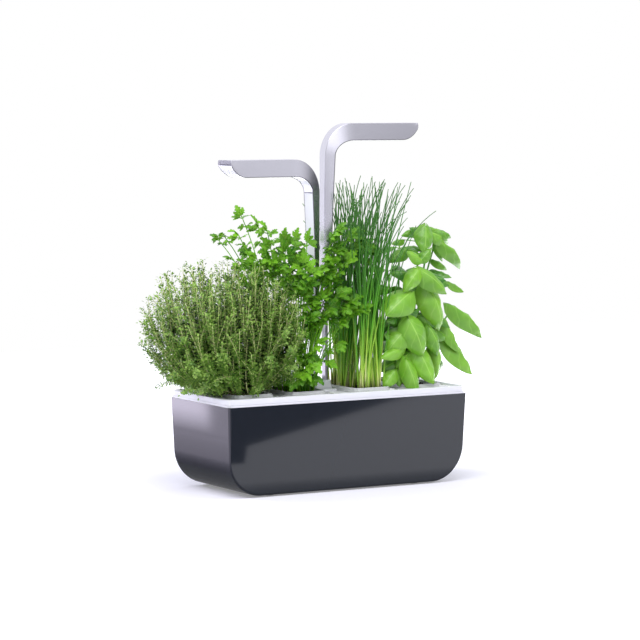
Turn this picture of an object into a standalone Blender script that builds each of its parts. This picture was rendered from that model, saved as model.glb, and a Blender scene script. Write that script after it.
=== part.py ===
"""Countertop hydroponic garden: a graphite water tank with four herbs under two sliding L-shaped lamps.

Metres, +Z up. X runs along the tank, -Y is the front, and the origin is on the floor under its middle.
"""
import math
import bpy
import bmesh
from mathutils import Matrix, Vector

# Clearances
GAP = 0.0003                    # between pieces that rest on each other
OVERRUN = 0.006                 # how far a cutter runs past the wall that it cuts
MERGE = 0.00001                 # points closer than this are one point

# Tank
TANK_LENGTH = 0.410
TANK_DEPTH = 0.180
CASING_TOP = 0.134
TANK_LEAN = 0.005               # how much each side leans in from the top to the bottom
END_RADIUS = 0.055              # the big round where the ends turn under
EDGE_RADIUS = 0.0032            # the small round where the ends meet the flat front
CASING_WALL = 0.0028
CASING_FLOOR = 0.0034
RESERVOIR_WALL = 0.0020
RIM_HEIGHT = 0.0028             # the reservoir's rim, which lies on the casing
RIM_CORNER = 0.009

# Feet
FOOT_HEIGHT = 0.0025            # below the casing
FOOT_SUNK = 0.0016              # into the casing's pocket
FOOT_RADIUS = 0.009
FOOT_FROM_END = 0.080
FOOT_FROM_FACE = 0.028

# Deck
DECK_CORNER = 0.014
DECK_PLATE = 0.0050
DECK_RIM_HEIGHT = 0.0030
DECK_RIM_WIDTH = 0.0060
DECK_RIM_ROUND = 0.0012
SKIRT_DEPTH = 0.0060
SKIRT_WALL = 0.0020

# Growing cups
INNER_CUP_X = 0.056
OUTER_CUP_X = 0.146
CUP_OPENING = (0.064, 0.126)    # outside of the cup where it passes the deck, along X and Y
CUP_FLANGE = (0.080, 0.150)
CUP_FLANGE_THICKNESS = 0.0014
CUP_FLANGE_CORNER = 0.010
CUP_CORNER = 0.012
CUP_DEPTH = 0.078
CUP_TAPER = 0.0045              # how much each side draws in towards the floor
CUP_WALL = 0.0016
CUP_LIP_HEIGHT = 0.0042
SOIL_BELOW_LIP = 0.0042

# Wicks
WICK_WIDTH = 0.012
WICK_THICKNESS = 0.0020
WICK_PAD = 0.030
WICK_FOOT_CLEARANCE = 0.0012

# Mast
SLEEVE_GAP = 0.0090             # between the two lamps' posts
RAIL_THICKNESS = 0.0044
RAIL_WIDTH = 0.0112
RAIL_WALL = 0.0010
RAIL_CORNER = 0.0010
RAIL_TOP = 0.335
COLLAR_BASE = (0.031, 0.034)
COLLAR_TOP = (0.028, 0.024)
COLLAR_HEIGHT = 0.0144
COLLAR_CORNER = 0.0045
COLLAR_FLARE_HEIGHT = 0.0030
SOCKET = (0.0276, 0.0166)       # the mast's socket below the deck
SOCKET_DEPTH = 0.055
SOCKET_FLOOR = 0.0020

# Lamps
LAMP_TOP_LEFT = 0.488
LAMP_TOP_RIGHT = 0.541
LAMP_HEIGHT = 0.266             # from the sleeve's mouth to the top of the arm
LAMP_REACH = 0.162              # from the middle of the tank to the tip
ARM_THICKNESS = 0.0256
OUTER_BEND = (0.045, 0.050)     # reach and rise of the convex side
INNER_BEND = (0.031, 0.024)     # reach and rise of the concave side
MOUTH_THICKNESS = 0.0095
BEND_THICKNESS = 0.0150
TAPER_START = 0.070             # above the mouth, where the post begins to thicken
TAPER_POWER = 1.4
MOUTH_WIDTHS = (0.0140, 0.0240)     # convex and concave side, across the tank
BEND_WIDTHS = (0.0168, 0.0270)
TIP_WIDTHS = (0.0390, 0.0410)
TIP_CURVE = 0.0270
TIP_THICKNESS = 0.0060
TIP_POWER = 0.75
TIP_WALL = 0.0010
COVER_WALL = 0.0012
COVER_EDGE = 0.0010
DIFFUSER_THICKNESS = 0.0016
STRIP_THICKNESS = 0.0014
BOARD_THICKNESS = 0.0016
BOARD_START = 0.058             # from the middle of the tank
BOARD_END = 0.132
BOARD_MARGIN = 0.0040
CHIP_SIZE = 0.0032
CHIP_HEIGHT = 0.0010
CHIP_ROW_COUNT = 2
CHIP_COLUMN_COUNT = 6
BUSH_HEIGHT = 0.024
BUSH_RECESS = 0.0010
RUNNING_GAP = 0.00025
SPRING_LENGTH = 0.028
SPRING_WIDTH = 0.0060
SPRING_THICKNESS = 0.0003
SPRING_BOW = 0.0002

# Control housing, behind the mast
HOUSING_SIZE = (0.030, 0.050)
HOUSING_CENTRE_Y = 0.046
HOUSING_HEIGHT = 0.0160
HOUSING_CORNER = 0.0050
HOUSING_WALL = 0.0018
HOUSING_ROUND = 0.0016
BOARD_CLEARANCE = 0.0012
BUTTON_Y = 0.034
BUTTON_RADIUS = 0.0055
BUTTON_STANDS_PROUD = 0.0012
BUTTON_FLANGE = 0.0014
BUTTON_FLANGE_RADIUS = 0.0072
BUTTON_SKIRT = 0.0014
DOME_RADIUS = 0.0048
DOME_WALL = 0.0008
JACK_SIZE = (0.0100, 0.0130, 0.0090)
JACK_BORE = 0.0028
JACK_PIN = 0.0009
JACK_DEPTH = 0.0090
JACK_HOLE = 0.0038

# Filling hole and its flap
FLAP_HALF_WIDTH = 0.0130
FLAP_FRONT = -0.0670
FLAP_THICKNESS = 0.0020
FLAP_RECESS = 0.0023
FILL_HOLE = (0.0190, 0.0280)
HINGE_Y = -0.0275
HINGE_RISE = 0.0012             # of the pin's axis above the deck
BARREL_RADIUS = 0.0022
BARREL_HALF = 0.0080
EAR_WIDTH = 0.0036
PIN_RADIUS = 0.0009
PIN_GAP = 0.0002
FINGER_RADIUS = 0.0055
FINGER_DEPTH = 0.0010

# Level float
FLOAT_Y = -0.0735
FLOAT_RADIUS = 0.0058
FLOAT_HEIGHT = 0.0130
FLOAT_STEM_RADIUS = 0.0020
FLOAT_ROUND = 0.0015
FLOAT_TRAVEL = 0.030
CAGE_GAP = 0.0008
CAGE_WALL = 0.0010
CAGE_FLANGE = 0.0012
CAGE_FLANGE_RADIUS = 0.0074
CAGE_SLOT = 0.0040

# Plants
REACH_X = 0.285                 # of the foliage from the middle of the tank, both ways
REACH_Y = 0.112
STEM = 0.0016
LEAF_THICKNESS = 0.0008
CROWN_HEIGHT = 0.0030
FOOT_OF_PLANT = 0.050           # above the soil, where the stems stay over the mat
LEAF_RISE_SHARE = 0.7           # how much a leaf points up, against out
GOLDEN_SHARE = 0.618

# Thyme
THYME_MAT = (0.036, 0.082)
THYME_GRID = (6, 9)
THYME_DOME = (-0.170, 0.0, 0.216)           # centre of the bush
THYME_HALF = (0.112, 0.108, 0.124)          # half sizes of the dome
THYME_HALF_RIGHT = 0.096                    # less where it meets the parsley
THYME_TILT = 1.70                           # of the outermost sprig from upright, in radians
THYME_EDGE_SHARE = 0.85
THYME_LIFT_SHARE = 0.70
THYME_INNER_SHARE = 0.78
THYME_BULGE_SHARE = 0.20
THYME_BARE_SHARE = 0.40                     # of a sprig, without leaves
THYME_PAIR_COUNT = 5                        # pairs of leaves on a sprig
THYME_PAIR_LOW = 0.012
THYME_PAIR_TOP = 0.027

# Parsley
PARSLEY_MAT = (0.034, 0.080)
PARSLEY_GRID = (3, 4)
PARSLEY_LEAF = (0.042, 0.034)
PARSLEY_SPREAD = (0.090, 0.064)
PARSLEY_TOP = 0.366
PARSLEY_LATE = 2.4                          # the higher, the later a stalk leans out
PARSLEY_SMALL_SHARE = 0.7
PARSLEY_DROOP_SHARE = 0.4
PARSLEY_SHARES = ((0.32, 0.95), (0.16, 0.5), (0.24, 0.85), (0.28, 0.1))
PARSLEY_TIP_SHARES = ((-0.50, -0.72, 0.88), (-0.10, -0.90, 0.66), (0.38, -0.95, 0.56),
                      (-0.88, -0.25, 1.00), (-0.34, -0.45, 0.90), (0.16, -0.66, 0.84),
                      (-0.70, 0.25, 0.82), (-0.28, 0.30, 0.96), (0.10, 0.62, 0.84),
                      (-0.45, 0.75, 0.92), (-0.05, 0.90, 0.74), (0.36, 0.95, 0.60))

# Chives
CHIVES_MAT = (0.044, 0.070)
CHIVES_GRID = (6, 6)
CHIVES_TOP = 0.442
CHIVES_LOW = 0.345
CHIVES_FAN_SHARES = (0.50, 0.62)
CHIVES_SHIFT_SHARE = 0.12
CHIVES_BULGE_SHARE = 0.12
CHIVE_WIDTH = 0.0028
CHIVE_TIP = 0.013

# Basil
BASIL_MAT = (0.036, 0.080)
BASIL_GRID = (2, 3)
BASIL_STEM = 0.0026
BASIL_LEAF = (0.050, 0.038)
BASIL_SPREAD = (0.100, 0.070)
BASIL_TOP = 0.352
BASIL_LATE = 1.6
BASIL_SMALL_SHARE = 0.8
BASIL_RISE_SHARE = 0.5
BASIL_SHARES = ((0.30, 0.8), (0.26, 1.0), (0.28, 0.62), (0.16, 0.08))
BASIL_TIP_SHARES = ((-0.20, -0.80, 0.74), (0.72, -0.55, 0.60), (0.02, -0.15, 0.98), (0.46, 0.05, 1.00),
                    (-0.12, 0.75, 0.78), (0.62, 0.70, 0.72))

COLLECTION = "countertop_hydroponic_garden"
HALF_X = TANK_LENGTH / 2
HALF_Y = TANK_DEPTH / 2
RIM_BASE = CASING_TOP + GAP
RIM_TOP = RIM_BASE + RIM_HEIGHT
DECK_BASE = RIM_TOP + GAP
DECK_TOP = DECK_BASE + DECK_PLATE
ON_DECK = DECK_TOP + GAP
CUP_X = {"thyme": -OUTER_CUP_X, "parsley": -INNER_CUP_X, "chives": INNER_CUP_X, "basil": OUTER_CUP_X}
LIP_TOP = ON_DECK + CUP_FLANGE_THICKNESS + CUP_LIP_HEIGHT
CUP_BASE = ON_DECK - CUP_DEPTH
CUP_FLOOR = CUP_BASE + CUP_WALL
SOIL_TOP = LIP_TOP - SOIL_BELOW_LIP
PLANT_BASE = SOIL_TOP + GAP
SLEEVE_X = SLEEVE_GAP / 2
CAVITY = MOUTH_THICKNESS - COVER_WALL - STRIP_THICKNESS
RAIL_X = SLEEVE_X + COVER_WALL + CAVITY / 2
POST_TOP = LAMP_HEIGHT - OUTER_BEND[1]
FULL_TURN = 2 * math.pi
QUARTER = math.pi / 2


def srgb(hex_colour):
    """Turn a six-digit sRGB colour into linear light."""
    channels = [int(hex_colour[i:i + 2], 16) / 255 for i in (0, 2, 4)]
    return [c / 12.92 if c <= 0.04045 else ((c + 0.055) / 1.055) ** 2.4 for c in channels]


def finish(name, colour, roughness, metallic=0.0, alpha=1.0):
    """Make one Principled material."""
    material = bpy.data.materials.new(name)
    material.use_nodes = True
    shader = material.node_tree.nodes["Principled BSDF"]
    shader.inputs["Base Color"].default_value = srgb(colour) + [1.0]
    shader.inputs["Roughness"].default_value = roughness
    shader.inputs["Metallic"].default_value = metallic
    shader.inputs["Alpha"].default_value = alpha
    material.diffuse_color = srgb(colour) + [alpha]
    return material


def collection(name):
    """Make a collection in the scene."""
    made = bpy.data.collections.new(name)
    bpy.context.scene.collection.children.link(made)
    return made


def place(name, mesh, material, parent=None, location=(0, 0, 0)):
    """Put a mesh in the object's collection under its own name."""
    obj = bpy.data.objects.new(name, mesh)
    mesh.name = name
    mesh.materials.clear()
    mesh.materials.append(material)
    obj.location = location
    obj.parent = parent
    PARTS.objects.link(obj)
    return obj


def to_mesh(bm, smooth_angle=None):
    """Close a bmesh into a mesh with its faces pointing out."""
    bmesh.ops.recalc_face_normals(bm, faces=bm.faces)
    mesh = bpy.data.meshes.new("mesh")
    bm.to_mesh(mesh)
    bm.free()
    if smooth_angle:
        mesh.shade_smooth()
        mesh.set_sharp_from_angle(angle=math.radians(smooth_angle))
    return mesh


def empty(name, location):
    """Make an empty that stands on a joint's axis."""
    frame = bpy.data.objects.new(name, None)
    frame.location = location
    PARTS.objects.link(frame)
    bpy.context.view_layer.update()
    return frame


def loft(rings):
    """Skin rings of equally many points, with a flat cap at each end."""
    bm = bmesh.new()
    rows = [[bm.verts.new(point) for point in ring] for ring in rings]
    count = len(rows[0])
    for low, high in zip(rows, rows[1:]):
        for i in range(count):
            j = (i + 1) % count
            bm.faces.new((low[i], low[j], high[j], high[i]))
    bm.faces.new(rows[0])
    bm.faces.new(rows[-1])
    return bm


def plan_ring(half_x, half_y, corner, z, steps=3, centre=(0.0, 0.0)):
    """Points of a rounded rectangle at one height."""
    points = []
    for quarter, (sx, sy) in enumerate(((1, 1), (-1, 1), (-1, -1), (1, -1))):
        for step in range(steps + 1):
            angle = QUARTER * (quarter + step / steps)
            points.append(Vector((centre[0] + sx * (half_x - corner) + corner * math.cos(angle),
                                  centre[1] + sy * (half_y - corner) + corner * math.sin(angle), z)))
    return points


def stacked(rings, centre=(0.0, 0.0), steps=3):
    """Loft rounded rectangles given as half length, half depth, corner and height."""
    return loft([plan_ring(*ring, steps=steps, centre=centre) for ring in rings])


def turned(name, profile, material, steps=32, parent=None, location=(0, 0, 0)):
    """Turn a profile, given down its outer side, about Z."""
    mesh = bpy.data.meshes.new(name)
    edges = [(i, i + 1) for i in range(len(profile) - 1)]
    mesh.from_pydata([(radius, 0, z) for radius, z in profile], edges, [])
    obj = place(name, mesh, material, parent, location)
    screw = obj.modifiers.new("Turn", "SCREW")
    screw.axis = "Z"
    screw.angle = FULL_TURN
    screw.steps = screw.render_steps = steps
    screw.use_merge_vertices = True
    screw.merge_threshold = MERGE
    screw.use_smooth_shade = False
    return obj


def closed_turn(profile, **settings):
    """Turn a profile that comes back to its start, such as a ring."""
    return turned(profile=profile + profile[:1], **settings)


def block(low, high):
    """A box between two corners, as a bmesh."""
    bm = bmesh.new()
    bmesh.ops.create_cube(bm, size=1.0)
    size = Vector(high) - Vector(low)
    middle = (Vector(high) + Vector(low)) / 2
    bmesh.ops.transform(bm, matrix=Matrix.Translation(middle) @ Matrix.Diagonal((*size, 1)), verts=bm.verts)
    return bm


def cylinder(radius, start, end, sides=24):
    """A round bar between two points on one axis, as a bmesh."""
    bm = bmesh.new()
    start = Vector(start)
    run = Vector(end) - start
    turn = Vector((0, 0, 1)).rotation_difference(run).to_matrix().to_4x4()
    shift = Matrix.Translation(start + run / 2)
    bmesh.ops.create_cone(bm, cap_ends=True, segments=sides, radius1=radius, radius2=radius,
                          depth=run.length, matrix=shift @ turn)
    return bm


def boolean(obj, bm, operation):
    """Cut an object with a closed shape, or join the shape to it."""
    tool = bpy.data.objects.new(f"{obj.name}_{operation.lower()}_{len(obj.modifiers)}", to_mesh(bm))
    tool.hide_render = True
    tool.display_type = "WIRE"
    tool.parent = obj.parent
    tool.location = obj.location
    CUTTERS.objects.link(tool)
    modifier = obj.modifiers.new(tool.name, "BOOLEAN")
    modifier.operation = operation
    modifier.object = tool
    modifier.solver = "EXACT"
    return modifier


def cut(obj, bm):
    """Take a closed shape away from an object."""
    return boolean(obj, bm, "DIFFERENCE")


def join(obj, bm):
    """Add a closed shape to an object as one body."""
    return boolean(obj, bm, "UNION")


def draft(bm):
    """Lean every side in towards the floor, as the mould needs."""
    for vert in bm.verts:
        share = (CASING_TOP - vert.co.z) / CASING_TOP
        vert.co.x *= 1 - share * TANK_LEAN / HALF_X
        vert.co.y *= 1 - share * TANK_LEAN / HALF_Y


def tub(inset, base, top, edge=0.0, steps=8):
    """The tank's U-shaped solid, drawn in by an inset, with its front and back outlines rounded."""
    half_x = HALF_X - inset
    half_y = HALF_Y - inset
    radius = END_RADIUS - inset
    outline = [(-half_x, top)]
    for step in range(steps + 1):
        angle = math.pi + QUARTER * step / steps
        outline.append((-half_x + radius + radius * math.cos(angle), base + radius + radius * math.sin(angle)))
    outline += [(-x, z) for x, z in reversed(outline)]
    bm = loft([[(x, y, z) for x, z in outline] for y in (-half_y, half_y)])
    if edge:
        rims = [e for e in bm.edges if abs(e.verts[0].co.y - e.verts[1].co.y) < MERGE
                and max(v.co.z for v in e.verts) - top < MERGE
                and min(v.co.z for v in e.verts) < top - MERGE]
        bmesh.ops.bevel(bm, geom=rims, offset=edge, segments=3, profile=0.5, affect="EDGES", material=-1)
    draft(bm)
    return bm


def make_casing():
    """The graphite outer tub, with a pocket for each foot."""
    base = FOOT_HEIGHT
    casing = place("casing", to_mesh(tub(0.0, base, CASING_TOP, EDGE_RADIUS), 30), GRAPHITE)
    cut(casing, tub(CASING_WALL, base + CASING_FLOOR, CASING_TOP + OVERRUN))
    for x, y in foot_places().values():
        low = (x, y, base - OVERRUN)
        cut(casing, cylinder(FOOT_RADIUS + GAP, low, (x, y, base + FOOT_SUNK + GAP)))
    return casing


def foot_places():
    """Where the four feet stand."""
    x = HALF_X - FOOT_FROM_END
    y = HALF_Y - FOOT_FROM_FACE
    return {"front_left": (-x, -y), "front_right": (x, -y), "back_left": (-x, y), "back_right": (x, y)}


def make_feet():
    """Four rubber pads, each in its pocket."""
    round_off = FOOT_HEIGHT / 4
    height = FOOT_HEIGHT + FOOT_SUNK
    profile = [(0, height), (FOOT_RADIUS, height), (FOOT_RADIUS, round_off), (FOOT_RADIUS - round_off, 0), (0, 0)]
    for corner, (x, y) in foot_places().items():
        turned(f"foot_{corner}", profile, RUBBER, steps=16, location=(x, y, 0))


def make_reservoir():
    """The white inner basin, whose rim lies on the casing."""
    inset = CASING_WALL + GAP
    floor = FOOT_HEIGHT + CASING_FLOOR + GAP
    reservoir = place("reservoir", to_mesh(tub(inset, floor, RIM_BASE + RIM_HEIGHT / 2), 30), WHITE)
    rim = [(HALF_X, HALF_Y, RIM_CORNER, RIM_BASE), (HALF_X, HALF_Y, RIM_CORNER, RIM_TOP)]
    join(reservoir, stacked(rim))
    cut(reservoir, tub(inset + RESERVOIR_WALL, floor + RESERVOIR_WALL, RIM_TOP + OVERRUN))


def make_deck():
    """The white cover with its rim, windows, skirt, filling hole and hinge ears."""
    top = DECK_TOP + DECK_RIM_HEIGHT
    outline = [(HALF_X, HALF_Y, DECK_CORNER, DECK_BASE), (HALF_X, HALF_Y, DECK_CORNER, top - DECK_RIM_ROUND)]
    for step in (1, 2):
        angle = QUARTER * step / 2
        draw_in = DECK_RIM_ROUND * (1 - math.cos(angle))
        height = top - DECK_RIM_ROUND * (1 - math.sin(angle))
        outline.append((HALF_X - draw_in, HALF_Y - draw_in, DECK_CORNER - draw_in, height))
    deck = place("deck", to_mesh(stacked(outline, steps=5), 30), WHITE)
    inner = DECK_RIM_WIDTH
    cut(deck, stacked([(HALF_X - inner, HALF_Y - inner, DECK_CORNER - inner, DECK_TOP),
                       (HALF_X - inner, HALF_Y - inner, DECK_CORNER - inner, top + OVERRUN)]))
    seat = CASING_WALL + GAP + RESERVOIR_WALL + TANK_LEAN * SKIRT_DEPTH / CASING_TOP + 2 * GAP
    skirt = [(HALF_X - seat, HALF_Y - seat, EDGE_RADIUS, RIM_TOP - SKIRT_DEPTH),
             (HALF_X - seat, HALF_Y - seat, EDGE_RADIUS, DECK_BASE + DECK_PLATE / 2)]
    join(deck, stacked(skirt))
    well = seat + SKIRT_WALL
    cut(deck, stacked([(HALF_X - well, HALF_Y - well, EDGE_RADIUS, RIM_TOP - SKIRT_DEPTH - OVERRUN),
                       (HALF_X - well, HALF_Y - well, EDGE_RADIUS, DECK_BASE)]))
    for x in CUP_X.values():
        half = [size / 2 + GAP for size in CUP_OPENING]
        cut(deck, stacked([(*half, CUP_CORNER, DECK_BASE - OVERRUN), (*half, CUP_CORNER, top + OVERRUN)],
                          centre=(x, 0)))
    half = [size / 2 + GAP for size in SOCKET]
    cut(deck, block((-half[0], -half[1], DECK_BASE - OVERRUN), (half[0], half[1], top + OVERRUN)))
    recess_back = HINGE_Y + BARREL_RADIUS + GAP
    recess_floor = DECK_TOP - FLAP_RECESS
    cut(deck, block((-FLAP_HALF_WIDTH - GAP, FLAP_FRONT - GAP, recess_floor),
                    (FLAP_HALF_WIDTH + GAP, recess_back, top + OVERRUN)))
    fill_y = (FLAP_FRONT + HINGE_Y - BARREL_RADIUS) / 2
    cut(deck, block((-FILL_HOLE[0] / 2, fill_y - FILL_HOLE[1] / 2, DECK_BASE - OVERRUN),
                    (FILL_HOLE[0] / 2, fill_y + FILL_HOLE[1] / 2, top + OVERRUN)))
    axis_z = DECK_TOP + HINGE_RISE
    for side in (-1, 1):
        ear = [side * (BARREL_HALF + GAP), side * (BARREL_HALF + GAP + EAR_WIDTH)]
        low, high = min(ear), max(ear)
        join(deck, block((low, HINGE_Y - BARREL_RADIUS, recess_floor - DECK_PLATE / 4),
                         (high, HINGE_Y + BARREL_RADIUS, axis_z)))
        join(deck, cylinder(BARREL_RADIUS, (low, HINGE_Y, axis_z), (high, HINGE_Y, axis_z)))
    reach = BARREL_HALF + EAR_WIDTH + OVERRUN
    cut(deck, cylinder(PIN_RADIUS + PIN_GAP, (-reach, HINGE_Y, axis_z), (reach, HINGE_Y, axis_z), sides=16))
    cut(deck, cylinder(FLOAT_STEM_RADIUS + GAP, (0, FLOAT_Y, DECK_BASE - OVERRUN), (0, FLOAT_Y, top + OVERRUN),
                       sides=20))


def make_cups():
    """Clear cups that hang in the windows by their flanges, with the soil and the wick of each."""
    x_half, y_half = (size / 2 for size in CUP_OPENING)
    x_flange, y_flange = (size / 2 for size in CUP_FLANGE)
    flange_top = ON_DECK + CUP_FLANGE_THICKNESS
    wall = CUP_WALL
    foot_corner = CUP_CORNER - CUP_TAPER
    rings = [
        (x_half - CUP_TAPER, y_half - CUP_TAPER, foot_corner, CUP_BASE),
        (x_half, y_half, CUP_CORNER, ON_DECK),
        (x_flange, y_flange, CUP_FLANGE_CORNER, ON_DECK),
        (x_flange, y_flange, CUP_FLANGE_CORNER, flange_top),
        (x_half + wall, y_half + wall, CUP_CORNER + wall, flange_top),
        (x_half, y_half, CUP_CORNER, LIP_TOP),
        (x_half - wall, y_half - wall, CUP_CORNER - wall, LIP_TOP),
        (x_half - CUP_TAPER - wall, y_half - CUP_TAPER - wall, foot_corner - wall, CUP_FLOOR),
    ]
    for number, (herb, x) in enumerate(CUP_X.items(), start=1):
        cup = place(f"growing_cup_{number}", to_mesh(stacked(rings), 30), CLEAR, location=(x, 0, 0))
        slot = [(WICK_WIDTH / 2 + GAP), (WICK_THICKNESS / 2 + GAP)]
        cut(cup, block((-slot[0], -slot[1], CUP_BASE - OVERRUN), (slot[0], slot[1], CUP_FLOOR + OVERRUN)))
        make_soil(number, x)
        make_wick(number, x)


def cup_inside(z):
    """How far the inside of a cup has drawn in at a height."""
    return CUP_WALL + CUP_TAPER * (LIP_TOP - z) / (LIP_TOP - CUP_FLOOR)


def make_soil(number, x):
    """The dark block of growing medium, slightly crowned."""
    base = CUP_FLOOR + WICK_THICKNESS + 2 * GAP
    shoulder = SOIL_TOP - CUP_WALL
    rings = []
    for z, extra in ((base, 0.0), (shoulder, 0.0), (SOIL_TOP, CUP_WALL)):
        inset = cup_inside(z) + 2 * GAP + extra
        rings.append((CUP_OPENING[0] / 2 - inset, CUP_OPENING[1] / 2 - inset, CUP_CORNER - inset, z))
    place(f"substrate_{number}", to_mesh(stacked(rings), 30), SOIL, location=(x, 0, 0))


def make_wick(number, x):
    """A felt strip from a pad on the cup's floor down to the reservoir's floor."""
    reservoir_floor = FOOT_HEIGHT + CASING_FLOOR + GAP + RESERVOIR_WALL
    foot = reservoir_floor + WICK_FOOT_CLEARANCE
    pad = CUP_FLOOR + GAP
    tail = block((-WICK_WIDTH / 2, -WICK_THICKNESS / 2, foot), (WICK_WIDTH / 2, WICK_THICKNESS / 2, pad + GAP))
    wick = place(f"wick_{number}", to_mesh(tail), FELT, location=(x, 0, 0))
    join(wick, block((-WICK_WIDTH, -WICK_PAD / 2, pad), (WICK_WIDTH, WICK_PAD / 2, pad + WICK_THICKNESS)))


def rail_ring(thickness, width, corner, z):
    """The rail's rounded section at one height, about the rail's own axis."""
    return plan_ring(thickness / 2, width / 2, corner, z, steps=2)


def make_mast():
    """The collar with its socket below the deck, and the two hollow rails that stand in it."""
    rings = [
        (SOCKET[0] / 2, SOCKET[1] / 2, COLLAR_CORNER / 2, ON_DECK - SOCKET_DEPTH),
        (SOCKET[0] / 2, SOCKET[1] / 2, COLLAR_CORNER / 2, ON_DECK),
        (COLLAR_BASE[0] / 2, COLLAR_BASE[1] / 2, COLLAR_CORNER, ON_DECK),
        (COLLAR_BASE[0] / 2, COLLAR_BASE[1] / 2, COLLAR_CORNER, ON_DECK + COLLAR_FLARE_HEIGHT / 3),
        ((COLLAR_BASE[0] + COLLAR_TOP[0]) / 4, (COLLAR_BASE[1] + COLLAR_TOP[1]) / 4, COLLAR_CORNER,
         ON_DECK + COLLAR_FLARE_HEIGHT),
        (COLLAR_TOP[0] / 2, COLLAR_TOP[1] / 2, COLLAR_CORNER, ON_DECK + COLLAR_HEIGHT),
    ]
    collar = place("mast_collar", to_mesh(stacked(rings), 30), WHITE)
    socket_floor = ON_DECK - SOCKET_DEPTH + SOCKET_FLOOR
    top = ON_DECK + COLLAR_HEIGHT
    for name, side in (("left", -1), ("right", 1)):
        x = side * RAIL_X
        bore = [RAIL_THICKNESS / 2 + GAP, RAIL_WIDTH / 2 + GAP]
        cut(collar, block((x - bore[0], -bore[1], socket_floor), (x + bore[0], bore[1], top + OVERRUN)))
        low = socket_floor + GAP
        bars = [rail_ring(RAIL_THICKNESS, RAIL_WIDTH, RAIL_CORNER, z) for z in (low, RAIL_TOP)]
        rail = place(f"mast_rail_{name}", to_mesh(loft(bars), 30), ALUMINIUM, location=(x, 0, 0))
        inner = (RAIL_THICKNESS - 2 * RAIL_WALL, RAIL_WIDTH - 2 * RAIL_WALL, RAIL_CORNER / 2)
        cut(rail, loft([rail_ring(*inner, z) for z in (low - OVERRUN, RAIL_TOP + OVERRUN)]))


def mix(start, end, share):
    """The value a share of the way from start to end."""
    return start + (end - start) * share


def post_station(height):
    """One cross-section of the post: convex point, concave point and the width at each."""
    rise = max(0.0, height - TAPER_START) / (POST_TOP - TAPER_START)
    thickness = mix(MOUTH_THICKNESS, BEND_THICKNESS, rise ** TAPER_POWER)
    widths = [mix(a, b, height / POST_TOP) for a, b in zip(MOUTH_WIDTHS, BEND_WIDTHS)]
    return (SLEEVE_X, height), (SLEEVE_X + thickness, height), widths


def bend_station(share):
    """One cross-section of the bend, a share of the way round."""
    angle = QUARTER * share
    reach, rise = 1 - math.cos(angle), math.sin(angle)
    inner_start = LAMP_HEIGHT - ARM_THICKNESS - INNER_BEND[1]
    outer = (SLEEVE_X + OUTER_BEND[0] * reach, POST_TOP + OUTER_BEND[1] * rise)
    inner = (SLEEVE_X + BEND_THICKNESS + INNER_BEND[0] * reach, inner_start + INNER_BEND[1] * rise)
    return outer, inner, arm_widths(outer[0])


def arm_widths(x):
    """Widths of the arm's top and underside at a distance from the middle of the tank."""
    share = (x - SLEEVE_X) / (LAMP_REACH - SLEEVE_X)
    return [mix(a, b, share) for a, b in zip(BEND_WIDTHS, TIP_WIDTHS)]


def arm_station(x):
    """One cross-section of the arm, whose underside curves up to the tip."""
    run = min(1.0, max(0.0, (LAMP_REACH - x) / TIP_CURVE))
    thickness = mix(TIP_THICKNESS, ARM_THICKNESS, math.sin(QUARTER * run ** TIP_POWER))
    return (x, LAMP_HEIGHT), (x, LAMP_HEIGHT - thickness), arm_widths(x)


def lamp_point(station, depth, across, side):
    """A point at a depth below the convex face, in the lamp's own frame."""
    outer, inner, _ = station
    along = Vector((inner[0] - outer[0], inner[1] - outer[1])).normalized() * depth
    return Vector((side * (outer[0] + along[0] - RAIL_X), across, outer[1] + along[1]))


def half_width(station, depth):
    """Half the section's width at a depth below the convex face."""
    outer, inner, widths = station
    thickness = math.dist(outer, inner)
    return mix(widths[0], widths[1], depth / thickness) / 2


def cover_ring(station, side, wall=COVER_WALL):
    """The channel-shaped section of a lamp's cover."""
    thickness = math.dist(station[0], station[1])
    wall = min(wall, thickness - COVER_EDGE / 4)
    outer = [(thickness, half_width(station, thickness)), (COVER_EDGE, half_width(station, COVER_EDGE)),
             (0.0, half_width(station, 0.0) - COVER_EDGE)]
    inner = [(wall, half_width(station, wall) - COVER_WALL),
             (thickness, half_width(station, thickness) - COVER_WALL)]
    half = [(depth, -across) for depth, across in outer]
    half += [(depth, across) for depth, across in reversed(outer)]
    half += [(depth, across) for depth, across in reversed(inner)]
    half += [(depth, -across) for depth, across in inner]
    return [lamp_point(station, depth, across, side) for depth, across in half]


def infill_ring(station, side, thickness):
    """The section of a strip that closes the channel, flush with its edges."""
    depth = math.dist(station[0], station[1])
    points = []
    for sign in (-1, 1):
        levels = (depth, depth - thickness) if sign < 0 else (depth - thickness, depth)
        for level in levels:
            across = half_width(station, level) - COVER_WALL - GAP
            points.append(lamp_point(station, level, sign * across, side))
    return points


def spread(start, end, count):
    """Evenly spaced values, both ends included."""
    return [mix(start, end, i / (count - 1)) for i in range(count)]


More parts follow.
